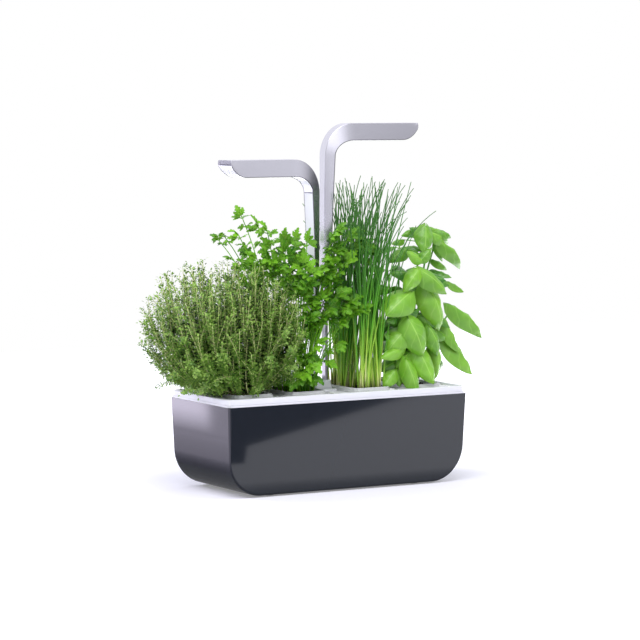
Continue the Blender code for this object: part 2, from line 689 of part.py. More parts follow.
def make_lamp(name, side, top):
    """One lamp: cover, strip, diffuser, board, bush and spring, all on one slide."""
    mouth = top - LAMP_HEIGHT
    slide = empty(f"{name}_lamp_slide", (side * RAIL_X, 0, mouth))
    bend = [bend_station(share) for share in spread(0, 1, 9)]
    arm_start = SLEEVE_X + OUTER_BEND[0]
    tip_start = LAMP_REACH - TIP_CURVE
    tip_end = LAMP_REACH - TIP_WALL
    posts = [post_station(h) for h in (0.0, TAPER_START)]
    posts += [post_station(h) for h in spread(TAPER_START, POST_TOP, 5)[1:-1]]
    tip = [arm_station(LAMP_REACH - TIP_CURVE * (1 - s) - TIP_WALL * s) for s in spread(0, 1, 7)]
    arm = [arm_station(mix(arm_start, tip_start, 0.5))]
    stations = posts + bend + arm + tip
    rings = [cover_ring(station, side) for station in stations]
    rings.append(cover_ring(arm_station(tip_end + GAP), side, wall=ARM_THICKNESS))
    rings.append(cover_ring(arm_station(LAMP_REACH), side, wall=ARM_THICKNESS))
    place(f"lamp_cover_{name}", to_mesh(loft(rings), 25), ALUMINIUM, slide)
    strip = posts[:-1] + [post_station(h) for h in (mix(TAPER_START, POST_TOP, 0.75), POST_TOP - GAP)]
    strip_rings = [infill_ring(station, side, STRIP_THICKNESS) for station in strip]
    place(f"post_strip_{name}", to_mesh(loft(strip_rings), 25), WHITE, slide)
    last = [arm_station(tip_end - GAP)]
    glow = [infill_ring(station, side, DIFFUSER_THICKNESS) for station in bend + arm + tip[:-1] + last]
    place(f"diffuser_{name}", to_mesh(loft(glow), 25), OPAL, slide)
    make_led_board(name, side, slide)
    make_bush(name, side, slide)
    make_spring(name, side, slide)


def make_led_board(name, side, slide):
    """The board under the top of the arm, with its rows of light chips."""
    top = LAMP_HEIGHT - COVER_WALL - GAP
    low = top - BOARD_THICKNESS
    corners = []
    for x in (BOARD_START, BOARD_END):
        half = half_width(arm_station(x), COVER_WALL) - COVER_WALL - BOARD_MARGIN
        corners.append((side * (x - RAIL_X), half))
    rings = [[(x, y, z) for x, half in corners for y in (half, -half)] for z in (low, top)]
    rings = [[ring[0], ring[1], ring[3], ring[2]] for ring in rings]
    board = place(f"led_board_{name}", to_mesh(loft(rings)), BOARD, slide)
    chips = bmesh.new()
    for x in spread(BOARD_START + CHIP_SIZE, BOARD_END - CHIP_SIZE, CHIP_COLUMN_COUNT):
        half = half_width(arm_station(x), COVER_WALL) - COVER_WALL - BOARD_MARGIN
        for y in spread(-half / 2, half / 2, CHIP_ROW_COUNT):
            size = Matrix.Diagonal((CHIP_SIZE, CHIP_SIZE, 2 * CHIP_HEIGHT, 1))
            at = Matrix.Translation((side * (x - RAIL_X), y, low))
            bmesh.ops.create_cube(chips, size=1.0, matrix=at @ size)
    join(board, chips)


def make_bush(name, side, slide):
    """The plastic liner in the sleeve's mouth, which runs on the rail."""
    rings = []
    for height in (BUSH_RECESS, BUSH_RECESS + BUSH_HEIGHT):
        station = post_station(height)
        back = MOUTH_THICKNESS - STRIP_THICKNESS - GAP
        front = COVER_WALL + GAP
        flat = [(back, -1), (front, -1), (front, 1), (back, 1)]
        rings.append([lamp_point(station, depth, sign * (half_width(station, depth) - COVER_WALL - 2 * GAP), side)
                      for depth, sign in flat])
    bush = place(f"slide_bush_{name}", to_mesh(loft(rings)), NYLON, slide)
    half = [RAIL_THICKNESS / 2 + RUNNING_GAP, RAIL_WIDTH / 2 + RUNNING_GAP]
    cut(bush, block((-half[0], -half[1], -OVERRUN), (half[0], half[1], BUSH_RECESS + BUSH_HEIGHT + OVERRUN)))


def make_spring(name, side, slide):
    """The bowed leaf between the strip and the rail, which holds the lamp where it is put."""
    low = BUSH_RECESS + BUSH_HEIGHT + GAP
    rest = MOUTH_THICKNESS - STRIP_THICKNESS - GAP - (RAIL_X - SLEEVE_X)
    rings = []
    for step in spread(0, 1, 9):
        z = low + SPRING_LENGTH * step
        x = rest - SPRING_BOW * math.sin(math.pi * step)
        ring = [(x, 1), (x, -1), (x - SPRING_THICKNESS, -1), (x - SPRING_THICKNESS, 1)]
        rings.append([(side * a, sign * SPRING_WIDTH / 2, z) for a, sign in ring])
    place(f"friction_spring_{name}", to_mesh(loft(rings)), STEEL, slide)


def make_controls():
    """The housing behind the mast, with its board, jack, button and return dome."""
    half_x, half_y = (size / 2 for size in HOUSING_SIZE)
    top = ON_DECK + HOUSING_HEIGHT
    ceiling = top - HOUSING_WALL
    shoulder = top - HOUSING_ROUND
    centre = (0, HOUSING_CENTRE_Y, 0)
    rings = [(half_x, half_y, HOUSING_CORNER, ON_DECK), (half_x - GAP, half_y - GAP, HOUSING_CORNER, shoulder)]
    for step in (1, 2):
        draw_in = HOUSING_ROUND * (1 - math.cos(QUARTER * step / 2))
        z = shoulder + HOUSING_ROUND * math.sin(QUARTER * step / 2)
        rings.append((half_x - GAP - draw_in, half_y - GAP - draw_in, HOUSING_CORNER - draw_in, z))
    housing = place("control_housing", to_mesh(stacked(rings), 30), WHITE, location=centre)
    wall = HOUSING_WALL + GAP
    cut(housing, stacked([(half_x - wall, half_y - wall, HOUSING_CORNER - wall, ON_DECK - OVERRUN),
                          (half_x - wall, half_y - wall, HOUSING_CORNER - wall, ceiling)]))
    button_y = BUTTON_Y - HOUSING_CENTRE_Y
    cut(housing, cylinder(BUTTON_RADIUS + GAP, (0, button_y, ceiling - GAP), (0, button_y, top + OVERRUN)))
    board_low = ON_DECK
    board_top = board_low + BOARD_THICKNESS
    inset = wall + BOARD_CLEARANCE
    board = [(half_x - inset, half_y - inset, HOUSING_CORNER - inset, z) for z in (board_low, board_top)]
    place("control_board", to_mesh(stacked(board)), BOARD, location=centre)
    jack_low = board_top + GAP
    jack_z = jack_low + JACK_SIZE[2] / 2
    jack_back = half_y - wall - GAP
    cut(housing, cylinder(JACK_HOLE, (0, jack_back - GAP, jack_z), (0, half_y + OVERRUN, jack_z)))
    jack = place("dc_jack", to_mesh(block((-JACK_SIZE[0] / 2, jack_back - JACK_SIZE[1], jack_low),
                                          (JACK_SIZE[0] / 2, jack_back, jack_low + JACK_SIZE[2]))), BLACK,
                 location=centre)
    cut(jack, cylinder(JACK_BORE, (0, jack_back - JACK_DEPTH, jack_z), (0, jack_back + OVERRUN, jack_z)))
    join(jack, cylinder(JACK_PIN, (0, jack_back - JACK_DEPTH - JACK_PIN, jack_z),
                        (0, jack_back - JACK_PIN, jack_z), sides=10))
    flange_top = ceiling - GAP
    cap_top = top + BUTTON_STANDS_PROUD
    soft = BUTTON_SKIRT / 3
    profile = [(0, cap_top), (BUTTON_RADIUS - soft, cap_top), (BUTTON_RADIUS, cap_top - soft),
               (BUTTON_RADIUS, flange_top), (BUTTON_FLANGE_RADIUS, flange_top),
               (BUTTON_FLANGE_RADIUS, flange_top - BUTTON_FLANGE), (0, flange_top - BUTTON_FLANGE)]
    press = empty("mode_button_axis", (0, BUTTON_Y, 0))
    turned("mode_button", profile, WHITE, steps=20, parent=press)
    dome_low = board_top + GAP
    dome_top = flange_top - BUTTON_FLANGE - GAP
    crown = DOME_RADIUS / 2
    shell = [(0, dome_top), (crown, dome_top), (DOME_RADIUS, dome_low + DOME_WALL),
             (DOME_RADIUS + DOME_WALL, dome_low), (DOME_RADIUS - DOME_WALL, dome_low),
             (crown - DOME_WALL / 2, dome_top - DOME_WALL), (0, dome_top - DOME_WALL)]
    turned("button_dome", shell, SILICONE, steps=16, location=(0, BUTTON_Y, 0))


def make_flap():
    """The lid of the filling hole, its barrel and the hinge pin."""
    axis_z = DECK_TOP + HINGE_RISE
    hinge = empty("fill_flap_axis", (0, HINGE_Y, axis_z))
    low = DECK_TOP - FLAP_RECESS + GAP - axis_z
    high = low + FLAP_THICKNESS
    back = -BARREL_RADIUS - 2 * GAP
    front = FLAP_FRONT - HINGE_Y
    lid = block((-FLAP_HALF_WIDTH, front, low), (FLAP_HALF_WIDTH, back, high))
    flap = place("fill_flap", to_mesh(lid), WHITE, hinge)
    join(flap, block((-BARREL_HALF, back - GAP, low), (BARREL_HALF, -PIN_RADIUS, high)))
    join(flap, cylinder(BARREL_RADIUS, (-BARREL_HALF, 0, 0), (BARREL_HALF, 0, 0)))
    past = BARREL_HALF + OVERRUN
    cut(flap, cylinder(PIN_RADIUS + PIN_GAP, (-past, 0, 0), (past, 0, 0), sides=16))
    finger = (0, front + FINGER_RADIUS / 2, high - FINGER_DEPTH)
    cut(flap, cylinder(FINGER_RADIUS, finger, (finger[0], finger[1], high + OVERRUN)))
    reach = BARREL_HALF + GAP + EAR_WIDTH
    place("flap_pin", to_mesh(cylinder(PIN_RADIUS, (-reach, 0, 0), (reach, 0, 0), sides=16), 30), STEEL, hinge)


def make_float():
    """The level float with its stem through the deck, and the slotted cage that guides it."""
    cage_top = DECK_BASE - GAP
    inner = FLOAT_RADIUS + CAGE_GAP
    outer = inner + CAGE_WALL
    low = cage_top - CAGE_FLANGE - FLOAT_TRAVEL - FLOAT_HEIGHT - 2 * GAP
    base = low - CAGE_WALL
    stem = FLOAT_STEM_RADIUS
    rise = empty("level_float_axis", (0, FLOAT_Y, low + GAP))
    stem_top = DECK_TOP - GAP - rise.location.z
    soft = FLOAT_ROUND
    profile = [(0, stem_top), (stem - soft / 3, stem_top), (stem, stem_top - soft / 3), (stem, FLOAT_HEIGHT),
               (FLOAT_RADIUS - soft, FLOAT_HEIGHT), (FLOAT_RADIUS, FLOAT_HEIGHT - soft), (FLOAT_RADIUS, soft),
               (FLOAT_RADIUS - soft, 0), (0, 0)]
    turned("level_float", profile, SIGNAL, steps=16, parent=rise)
    wall = [(outer, cage_top - CAGE_FLANGE), (outer, base), (stem, base), (stem, low), (inner, low),
            (inner, cage_top), (CAGE_FLANGE_RADIUS + CAGE_GAP, cage_top),
            (CAGE_FLANGE_RADIUS + CAGE_GAP, cage_top - CAGE_FLANGE)]
    cage = closed_turn(wall, name="float_cage", material=WHITE, steps=20, location=(0, FLOAT_Y, 0))
    slot_low = low + CAGE_SLOT
    slot_high = cage_top - CAGE_SLOT
    cut(cage, block((-outer - OVERRUN, -CAGE_SLOT / 2, slot_low), (outer + OVERRUN, CAGE_SLOT / 2, slot_high)))


def crown(size, columns, rows):
    """A thin root mat with one small facet for each stem, as a bmesh and its facets."""
    bm = bmesh.new()
    bmesh.ops.create_grid(bm, x_segments=columns, y_segments=rows, size=0.5)
    bmesh.ops.scale(bm, vec=(*size, 1), verts=bm.verts)
    tops = list(bm.faces)
    rim = bmesh.ops.extrude_edge_only(bm, edges=[e for e in bm.edges if e.is_boundary])["geom"]
    low = [item for item in rim if isinstance(item, bmesh.types.BMVert)]
    bmesh.ops.translate(bm, vec=(0, 0, -CROWN_HEIGHT), verts=low)
    bmesh.ops.contextual_create(bm, geom=[e for e in bm.edges if e.is_boundary])
    bmesh.ops.translate(bm, vec=(0, 0, CROWN_HEIGHT), verts=bm.verts)
    bmesh.ops.recalc_face_normals(bm, faces=bm.faces)
    cell = min(size[0] / columns, size[1] / rows)
    bmesh.ops.inset_individual(bm, faces=tops, thickness=(cell - STEM) / 2)
    return bm, tops


def pull(bm, face, centre, along, across, width, thickness):
    """Extrude a four-sided face to a new ring; the new end and the four sides come back."""
    start = [vert.co.copy() for vert in face.verts]
    end = bmesh.ops.extrude_discrete_faces(bm, faces=[face])["faces"][0]
    side = across.cross(along).normalized()
    ring = [centre + across * (width / 2 * a) + side * (thickness / 2 * b)
            for a, b in ((1, 1), (-1, 1), (-1, -1), (1, -1))]
    normal = (ring[1] - ring[0]).cross(ring[2] - ring[1])
    if normal.dot(along) < 0:
        ring.reverse()
    middle = sum(start, Vector()) / 4
    shifts = [sum(((ring[(i + k) % 4] - centre) - (start[i] - middle)).length for i in range(4)) for k in range(4)]
    turn = shifts.index(min(shifts))
    for i, vert in enumerate(end.verts):
        vert.co = ring[(i + turn) % 4]
    sides = [other for edge in end.edges for other in edge.link_faces if other != end]
    return end, sides


def grow(bm, face, spine, width, thickness):
    """Pull a stem along a spine; its end and the side facets of each step come back."""
    steps = []
    for before, point in zip(spine, spine[1:]):
        along = (point - before).normalized()
        across = along.cross(Vector((0, 0, 1)))
        across = across.normalized() if across.length > 0.1 else Vector((0, 1, 0))
        face, sides = pull(bm, face, point, along, across, width, thickness)
        steps.append(sides)
    return face, steps


def leaf(bm, face, direction, length, width, droop, shares):
    """Pull one leaf out of a facet, through steps given as shares of its length and width."""
    at = facet_middle(face)
    direction = direction.normalized()
    across = direction.cross(Vector((0, 0, 1)))
    across = across.normalized() if across.length > 0.1 else Vector((0, 1, 0))
    for reach_share, width_share in shares:
        along = (direction + Vector((0, 0, -droop * reach_share))).normalized()
        at = at + along * (length * reach_share)
        face, _ = pull(bm, face, at, along, across, max(width * width_share, LEAF_THICKNESS), LEAF_THICKNESS)


def bow(start, end, bulge, count):
    """A stem's spine, which rises first and leans out later."""
    points = []
    for share in spread(0, 1, count):
        point = start.lerp(end, share)
        lift = math.sin(math.pi * share) * bulge
        points.append(point + Vector((-(end.x - start.x) * lift, -(end.y - start.y) * lift, 0)))
    return points


def facet_middle(face):
    """The middle of a facet."""
    return sum((vert.co for vert in face.verts), Vector()) / len(face.verts)


def stretch_to(bm, axis, limit, root):
    """Stretch one side of a plant, above its foot, so that its furthest point lies on a limit."""
    sign = 1 if limit > root else -1
    furthest = max(sign * vert.co[axis] for vert in bm.verts) * sign
    factor = (limit - root) / (furthest - root)
    for vert in bm.verts:
        if (vert.co[axis] - root) * sign > 0:
            share = min(1.0, max(0.0, vert.co.z - PLANT_BASE - CROWN_HEIGHT) / FOOT_OF_PLANT)
            vert.co[axis] = root + (vert.co[axis] - root) * mix(1.0, factor, share)


def wave(number, share):
    """An even but irregular-looking value between 0 and 1."""
    return 0.5 + 0.5 * math.sin(number * share * FULL_TURN)


def mat_shares(at, x0, mat):
    """Where a stem stands on its mat, from -1 to 1 both ways."""
    return (at.x - x0) / (mat[0] / 2), at.y / (mat[1] / 2)


def rooted(name, mat, grid):
    """A root mat in its cup: the bmesh, its facets from front left to back right, and the cup's place."""
    bm, tops = crown(mat, *grid)
    x0 = CUP_X[name]
    bmesh.ops.translate(bm, vec=(x0, 0, PLANT_BASE), verts=bm.verts)
    tops.sort(key=lambda face: (round(facet_middle(face).y, 5), facet_middle(face).x))
    return bm, tops, x0


def dome_way(u, v, number):
    """The direction in which a stem leans, from its place on the mat, so that the stems share the dome evenly."""
    edge = min(1.0, max(abs(u), abs(v)) / THYME_EDGE_SHARE)
    edge *= mix(THYME_LIFT_SHARE, 1.0, wave(number, GOLDEN_SHARE / 2))
    tilt = math.acos(1 - edge ** 2 * (1 - math.cos(THYME_TILT)))
    angle = math.atan2(v, u)
    return Vector((math.sin(tilt) * math.cos(angle), math.sin(tilt) * math.sin(angle), math.cos(tilt)))


def make_thyme():
    """A sheaf of sprigs that fans out to a dome, with a crossed pair of leaves at each joint of a stem."""
    bm, tops, x0 = rooted("thyme", THYME_MAT, THYME_GRID)
    centre = Vector(THYME_DOME)
    bare = round(2 * THYME_PAIR_COUNT * THYME_BARE_SHARE)
    for number, face in enumerate(tops):
        at = facet_middle(face)
        way = dome_way(*mat_shares(at, x0, THYME_MAT), number)
        reach = mix(THYME_INNER_SHARE, 1.0, wave(number, GOLDEN_SHARE))
        half = THYME_HALF if way.x < 0 else (THYME_HALF_RIGHT, *THYME_HALF[1:])
        tip = centre + Vector([a * b for a, b in zip(way, half)]) * reach
        spine = bow(at, tip, THYME_BULGE_SHARE, 2 * THYME_PAIR_COUNT + bare + 2)
        spine = spine[:1] + spine[bare:]
        for step, (before, point) in enumerate(zip(spine, spine[1:])):
            along = (point - before).normalized()
            across = along.cross(Vector((0, 0, 1)))
            across = across.normalized() if across.length > 0.1 else Vector((0, 1, 0))
            paired = step % 2 and step < len(spine) - 2
            wide = mix(THYME_PAIR_LOW, THYME_PAIR_TOP, step / len(spine)) if paired else STEM
            flat = (wide, STEM) if step % 4 == 1 else (STEM, wide)
            face, _ = pull(bm, face, point, along, across, *flat)
    stretch_to(bm, 0, -REACH_X, x0)
    stretch_to(bm, 1, -REACH_Y, 0.0)
    stretch_to(bm, 1, REACH_Y, 0.0)
    place("thyme_plant", to_mesh(bm), THYME)


def reach_out(tip_shares, x0, spread_size, top):
    """A stem's end, given by its place in the plant's spread and its share of the height."""
    u, v, height = tip_shares
    return Vector((x0 + u * spread_size[0], v * spread_size[1], mix(PLANT_BASE, top, height)))


def lean(start, end, count, late):
    """A stem's spine, which stands upright first and leans out late."""
    points = []
    for share in spread(0, 1, count):
        away = share ** late
        points.append(Vector((mix(start.x, end.x, away), mix(start.y, end.y, away), mix(start.z, end.z, share))))
    return points


def make_parsley():
    """Stalks that lean out late and end in leaves of three lobes."""
    bm, tops, x0 = rooted("parsley", PARSLEY_MAT, PARSLEY_GRID)
    small = [PARSLEY_SMALL_SHARE * side for side in PARSLEY_LEAF]
    for number, face in enumerate(tops):
        at = facet_middle(face)
        tip = reach_out(PARSLEY_TIP_SHARES[number % len(PARSLEY_TIP_SHARES)], x0, PARSLEY_SPREAD, PARSLEY_TOP)
        out = Vector((tip.x - at.x, tip.y - at.y, 0)) / PARSLEY_SPREAD[0]
        end, steps = grow(bm, face, lean(at, tip, 7, PARSLEY_LATE), STEM, STEM)
        leaf(bm, end, out + Vector((0, 0, 1.0)), *PARSLEY_LEAF, PARSLEY_DROOP_SHARE, PARSLEY_SHARES)
        for facet in steps[-1][:4:2]:
            leaf(bm, facet, facet.normal + out + Vector((0, 0, LEAF_RISE_SHARE)), *PARSLEY_LEAF, PARSLEY_DROOP_SHARE,
                 PARSLEY_SHARES)
        facet = steps[3][number % 4]
        leaf(bm, facet, facet.normal + Vector((0, 0, LEAF_RISE_SHARE)), *small, PARSLEY_DROOP_SHARE, PARSLEY_SHARES)
    place("parsley_plant", to_mesh(bm), PARSLEY)


def make_chives():
    """A tuft of thin hollow blades that fan out towards their tips."""
    bm, tops, x0 = rooted("chives", CHIVES_MAT, CHIVES_GRID)
    for number, face in enumerate(tops):
        at = facet_middle(face)
        u, v = mat_shares(at, x0, CHIVES_MAT)
        height = mix(CHIVES_LOW, CHIVES_TOP, wave(number, GOLDEN_SHARE))
        fan = (CHIVES_FAN_SHARES[0] * u + CHIVES_SHIFT_SHARE, CHIVES_FAN_SHARES[1] * v)
        tip = Vector((at.x + CHIVES_MAT[0] * fan[0], at.y + CHIVES_MAT[1] * fan[1], height))
        end, _ = grow(bm, face, bow(at, tip, CHIVES_BULGE_SHARE, 4), CHIVE_WIDTH, CHIVE_WIDTH)
        along = (tip - at).normalized()
        pull(bm, end, tip + along * CHIVE_TIP, along, Vector((0, 1, 0)), CHIVE_WIDTH / 4, CHIVE_WIDTH / 4)
    place("chives_plant", to_mesh(bm), CHIVES)


def make_basil():
    """Thick stems with crossed pairs of large cupped leaves."""
    bm, tops, x0 = rooted("basil", BASIL_MAT, BASIL_GRID)
    for number, face in enumerate(tops):
        at = facet_middle(face)
        tip = reach_out(BASIL_TIP_SHARES[number % len(BASIL_TIP_SHARES)], x0, BASIL_SPREAD, BASIL_TOP)
        out = Vector((tip.x - at.x, tip.y - at.y, 0)) / BASIL_SPREAD[0]
        end, steps = grow(bm, face, lean(at, tip, 8, BASIL_LATE), BASIL_STEM, BASIL_STEM)
        for level in (2, 4, 6):
            size = [side * mix(1.0, BASIL_SMALL_SHARE, level / 6) for side in BASIL_LEAF]
            for k in (0, 2):
                facet = steps[level][(k + level // 2) % 4]
                leaf(bm, facet, facet.normal + out + Vector((0, 0, BASIL_RISE_SHARE)), *size, 1.0, BASIL_SHARES)
        leaf(bm, end, out + Vector((0, 0, LEAF_RISE_SHARE)), *BASIL_LEAF, 1.0, BASIL_SHARES)
    stretch_to(bm, 0, REACH_X, x0)
    place("basil_plant", to_mesh(bm), BASIL)


for old in list(bpy.data.objects):
    bpy.data.objects.remove(old, do_unlink=True)
PARTS = collection(COLLECTION)
CUTTERS = collection("cutters")
GRAPHITE = finish("graphite_gloss_plastic", "3E4046", 0.12)
WHITE = finish("white_plastic", "EFEFF2", 0.35)
CLEAR = finish("clear_plastic", "C9D3CC", 0.10, alpha=0.45)
ALUMINIUM = finish("brushed_aluminium", "B9B8BE", 0.38, metallic=1.0)
OPAL = finish("opal_diffuser", "F4F3FA", 0.30)
SOIL = finish("growing_medium", "2B241F", 0.95)
FELT = finish("white_felt", "DAD7CF", 0.95)
RUBBER = finish("foot_rubber", "26262A", 0.80)
BOARD = finish("circuit_board", "2E6B46", 0.45)
NYLON = finish("nylon_bush", "D9D9D6", 0.50)
STEEL = finish("spring_steel", "A9ABAF", 0.30, metallic=1.0)
BLACK = finish("black_plastic", "1C1C1E", 0.45)
SILICONE = finish("silicone", "CFCFD2", 0.60)
SIGNAL = finish("float_red", "C8382E", 0.45)
THYME = finish("thyme_leaf", "5E7A3A", 0.60)
PARSLEY = finish("parsley_leaf", "3F9A1E", 0.50)
CHIVES = finish("chive_blade", "4E8A3C", 0.50)
BASIL = finish("basil_leaf", "5FA82E", 0.45)

make_casing()
make_feet()
make_reservoir()
make_deck()
make_cups()
make_mast()
make_lamp("left", -1, LAMP_TOP_LEFT)
make_lamp("right", 1, LAMP_TOP_RIGHT)
make_controls()
make_flap()
make_float()
make_thyme()
make_parsley()
make_chives()
make_basil()
print("nodes", len([obj for obj in PARTS.objects if obj.type == "MESH"]))
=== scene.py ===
# %% [markdown]
# # A countertop herb garden, dressed for its portrait
# The garden is a graphite tank with a white deck. Four clear cups hang in the deck, each with its own herb,
# and two L-shaped lamps slide on a mast between them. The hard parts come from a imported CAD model, which
# stays where it is. This script adds what CAD leaves plain: the gloss of the tank, the smooth bends of the
# lamps, the crumbs of the soil and every leaf.

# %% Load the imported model
import math
import random
import bpy
import bmesh
from mathutils import Matrix, Vector, noise


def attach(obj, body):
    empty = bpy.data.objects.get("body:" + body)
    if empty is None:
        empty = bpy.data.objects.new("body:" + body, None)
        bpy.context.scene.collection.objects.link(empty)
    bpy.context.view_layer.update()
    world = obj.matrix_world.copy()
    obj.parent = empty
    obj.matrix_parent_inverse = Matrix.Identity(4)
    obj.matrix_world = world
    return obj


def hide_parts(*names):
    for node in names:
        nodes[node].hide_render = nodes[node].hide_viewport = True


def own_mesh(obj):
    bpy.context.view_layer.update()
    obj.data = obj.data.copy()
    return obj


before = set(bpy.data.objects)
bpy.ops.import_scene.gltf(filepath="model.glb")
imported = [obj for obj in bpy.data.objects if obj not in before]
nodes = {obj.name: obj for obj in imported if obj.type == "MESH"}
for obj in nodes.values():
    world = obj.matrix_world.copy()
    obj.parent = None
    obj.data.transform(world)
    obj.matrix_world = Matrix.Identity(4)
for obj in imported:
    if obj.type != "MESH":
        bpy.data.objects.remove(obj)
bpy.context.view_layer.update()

# %% [markdown]
# ## Helpers for colours and shader nodes
# Nearly every cell below makes a finish or a mesh, so the helpers come first. One turns the hex colours that
# painters use into the linear light that Cycles works in. One adds a shader node with its settings, its links
# and, on a colour ramp, its stops, in a single call. One starts a finish.

# %% Colours, shader nodes and finishes
def hex_light(code, alpha=1.0):
    """Turn an sRGB hex colour into linear light."""
    channels = [int(code[i:i + 2], 16) / 255 for i in (0, 2, 4)]
    return (*[c / 12.92 if c <= 0.04045 else ((c + 0.055) / 1.055) ** 2.4 for c in channels], alpha)


def add(tree, kind, sockets=None, stops=(), **properties):
    """Add one node: properties are set, plain values fill sockets, other sockets are linked, stops make a ramp."""
    made = tree.nodes.new(kind)
    for name, value in properties.items():
        setattr(made, name, value)
    for key, value in (sockets or {}).items():
        if isinstance(value, bpy.types.NodeSocket):
            tree.links.new(value, made.inputs[key])
        else:
            made.inputs[key].default_value = value
    for place, colour in stops:
        marks = made.color_ramp.elements
        mark = marks[0] if place == 0 else marks[-1] if place == 1 else marks.new(place)
        mark.color = hex_light(colour) if isinstance(colour, str) else (colour, colour, colour, 1.0)
    return made


def finish_named(name, colour=None, **settings):
    """Start a material on its Principled shader, and give the tree, the shader and Object coordinates."""
    material = bpy.data.materials.new(name)
    material.use_nodes = True
    tree = material.node_tree
    shader = tree.nodes["Principled BSDF"]
    if colour:
        shader.inputs["Base Color"].default_value = hex_light(colour)
    for socket, value in settings.items():
        shader.inputs[socket.replace("_", " ")].default_value = value
    return material, tree, shader, add(tree, "ShaderNodeTexCoord").outputs["Object"]


# %% [markdown]
# Every form below is drawn in a bmesh, which is Blender's mesh for editing. These two helpers close it: one
# keeps it as a mesh that can be copied, and one makes it an object that rides on a body of the model.

# %% Meshes and pieces
def to_mesh(name, bm):
    """Turn a bmesh into a mesh."""
    mesh = bpy.data.meshes.new(name)
    bm.to_mesh(mesh)
    bm.free()
    return mesh


def piece(name, bm, body, materials, stands_for=()):
    """Turn a bmesh into an object at the origin that rides on a body of the model."""
    mesh = to_mesh(name, bm)
    for material in materials:
        mesh.materials.append(material)
    mesh.shade_smooth()
    obj = bpy.data.objects.new(name, mesh)
    bpy.context.scene.collection.objects.link(obj)
    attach(obj, body)
    if stands_for:
        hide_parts(*stands_for)
    print(name, "has", len(mesh.polygons), "faces")
    return obj


# %% [markdown]
# ## The camera
# The photograph looks down a little from the front left with a long lens, so upright lines stay upright. The
# camera's place was found by fitting the tank's corners and the lamps' tips. The picture is 640 by 640, so a
# focal length in pixels turns to millimetres by the width of the sensor.

# %% Place the camera
IMAGE_WIDTH = 640
FOCAL_PIXELS = 2832
LOOK_DOWN, LOOK_RIGHT = 4.602, 30.677       # degrees

camera = bpy.data.cameras.new("camera")
camera.sensor_width = 36.0
camera.lens = FOCAL_PIXELS / IMAGE_WIDTH * camera.sensor_width
camera.clip_end = 60
camera_object = bpy.data.objects.new("camera", camera)
bpy.context.scene.collection.objects.link(camera_object)
camera_object.location = (-2.1571, -3.6374, 0.5874)
camera_object.rotation_euler = (math.radians(90 - LOOK_DOWN), 0, math.radians(-LOOK_RIGHT))
bpy.context.scene.camera = camera_object
bpy.context.scene.view_settings.view_transform = "Standard"
print("lens:", round(camera.lens, 1), "mm")

# %% [markdown]
# ## What the gloss mirrors
# The set is a white table in a white room. A polished tank shows the table in front of it, so the table has a
# second look that only reflections see. A point low on the tank's front mirrors the table close by, and a
# high one mirrors it far off. So the picture in the gloss is laid out flat on the table, in metres: bright
# up to a slanting edge and dark beyond it, with the tank's own shadow near its foot.

# %% The table as the tank's front and end mirror it
DARK_ROOM = 0.04        # level past the table's slanting edge
WHITE_WALL = 6.0        # level of the bright wall on the right


def front_mirror(tree, x, y):
    """The level of the picture in the flat front."""
    across = add(tree, "ShaderNodeMath", {0: x, 1: -0.536}, operation="MULTIPLY")
    along = add(tree, "ShaderNodeMath", {0: y, 1: -0.844}, operation="MULTIPLY")
    past = add(tree, "ShaderNodeMath", {0: across.outputs[0], 1: along.outputs[0]})
    slant = add(tree, "ShaderNodeMapRange", {0: past.outputs[0], 1: 0.353, 2: 0.359, 3: 1.0, 4: 0.0})
    # the dark patch starts a hand's breadth from the front's left end, and ends above the bright foot
    ray = add(tree, "ShaderNodeMath", {0: y, 1: 0.5995, 2: 0.054}, operation="MULTIPLY_ADD")
    left_of = add(tree, "ShaderNodeMath", {0: x, 1: ray.outputs[0]})
    beside = add(tree, "ShaderNodeMapRange", {0: left_of.outputs[0], 1: -0.186, 2: -0.182})
    near = add(tree, "ShaderNodeMapRange", {0: y, 1: -0.328, 2: -0.308})
    band = add(tree, "ShaderNodeMath", {0: beside.outputs[0], 1: near.outputs[0]}, operation="MAXIMUM")
    lit = add(tree, "ShaderNodeMath", {0: slant.outputs[0], 1: band.outputs[0]}, operation="MULTIPLY")
    rightward = add(tree, "ShaderNodeMapRange", {0: x, 1: -0.2, 2: 0.6, 3: 1.12, 4: 1.36})
    table = add(tree, "ShaderNodeMapRange", {0: lit.outputs[0], 3: DARK_ROOM, 4: rightward.outputs[0]})
    to_foot = add(tree, "ShaderNodeMapRange", {0: y, 1: -0.20, 2: -0.08})
    shadow = add(tree, "ShaderNodeValToRGB", {0: to_foot.outputs[0]},
                 stops=((0, 1.0), (0.15, 0.96), (0.25, 0.80), (0.48, 0.50), (0.80, 0.30), (1, 0.16)))
    shaded = add(tree, "ShaderNodeMath", {0: table.outputs[0], 1: shadow.outputs[0]}, operation="MULTIPLY")
    # a white wall on the right draws the thin bright line down the front's right edge
    to_right = add(tree, "ShaderNodeMapRange", {0: x, 1: 0.21, 2: 0.24})
    to_back = add(tree, "ShaderNodeMapRange", {0: y, 1: -0.085, 2: -0.06})
    wall = add(tree, "ShaderNodeMath", {0: to_right.outputs[0], 1: to_back.outputs[0]}, operation="MULTIPLY")
    front = add(tree, "ShaderNodeMix", {0: wall.outputs[0], 2: shaded.outputs[0], 3: WHITE_WALL},
                data_type="FLOAT")
    return front.outputs[0]


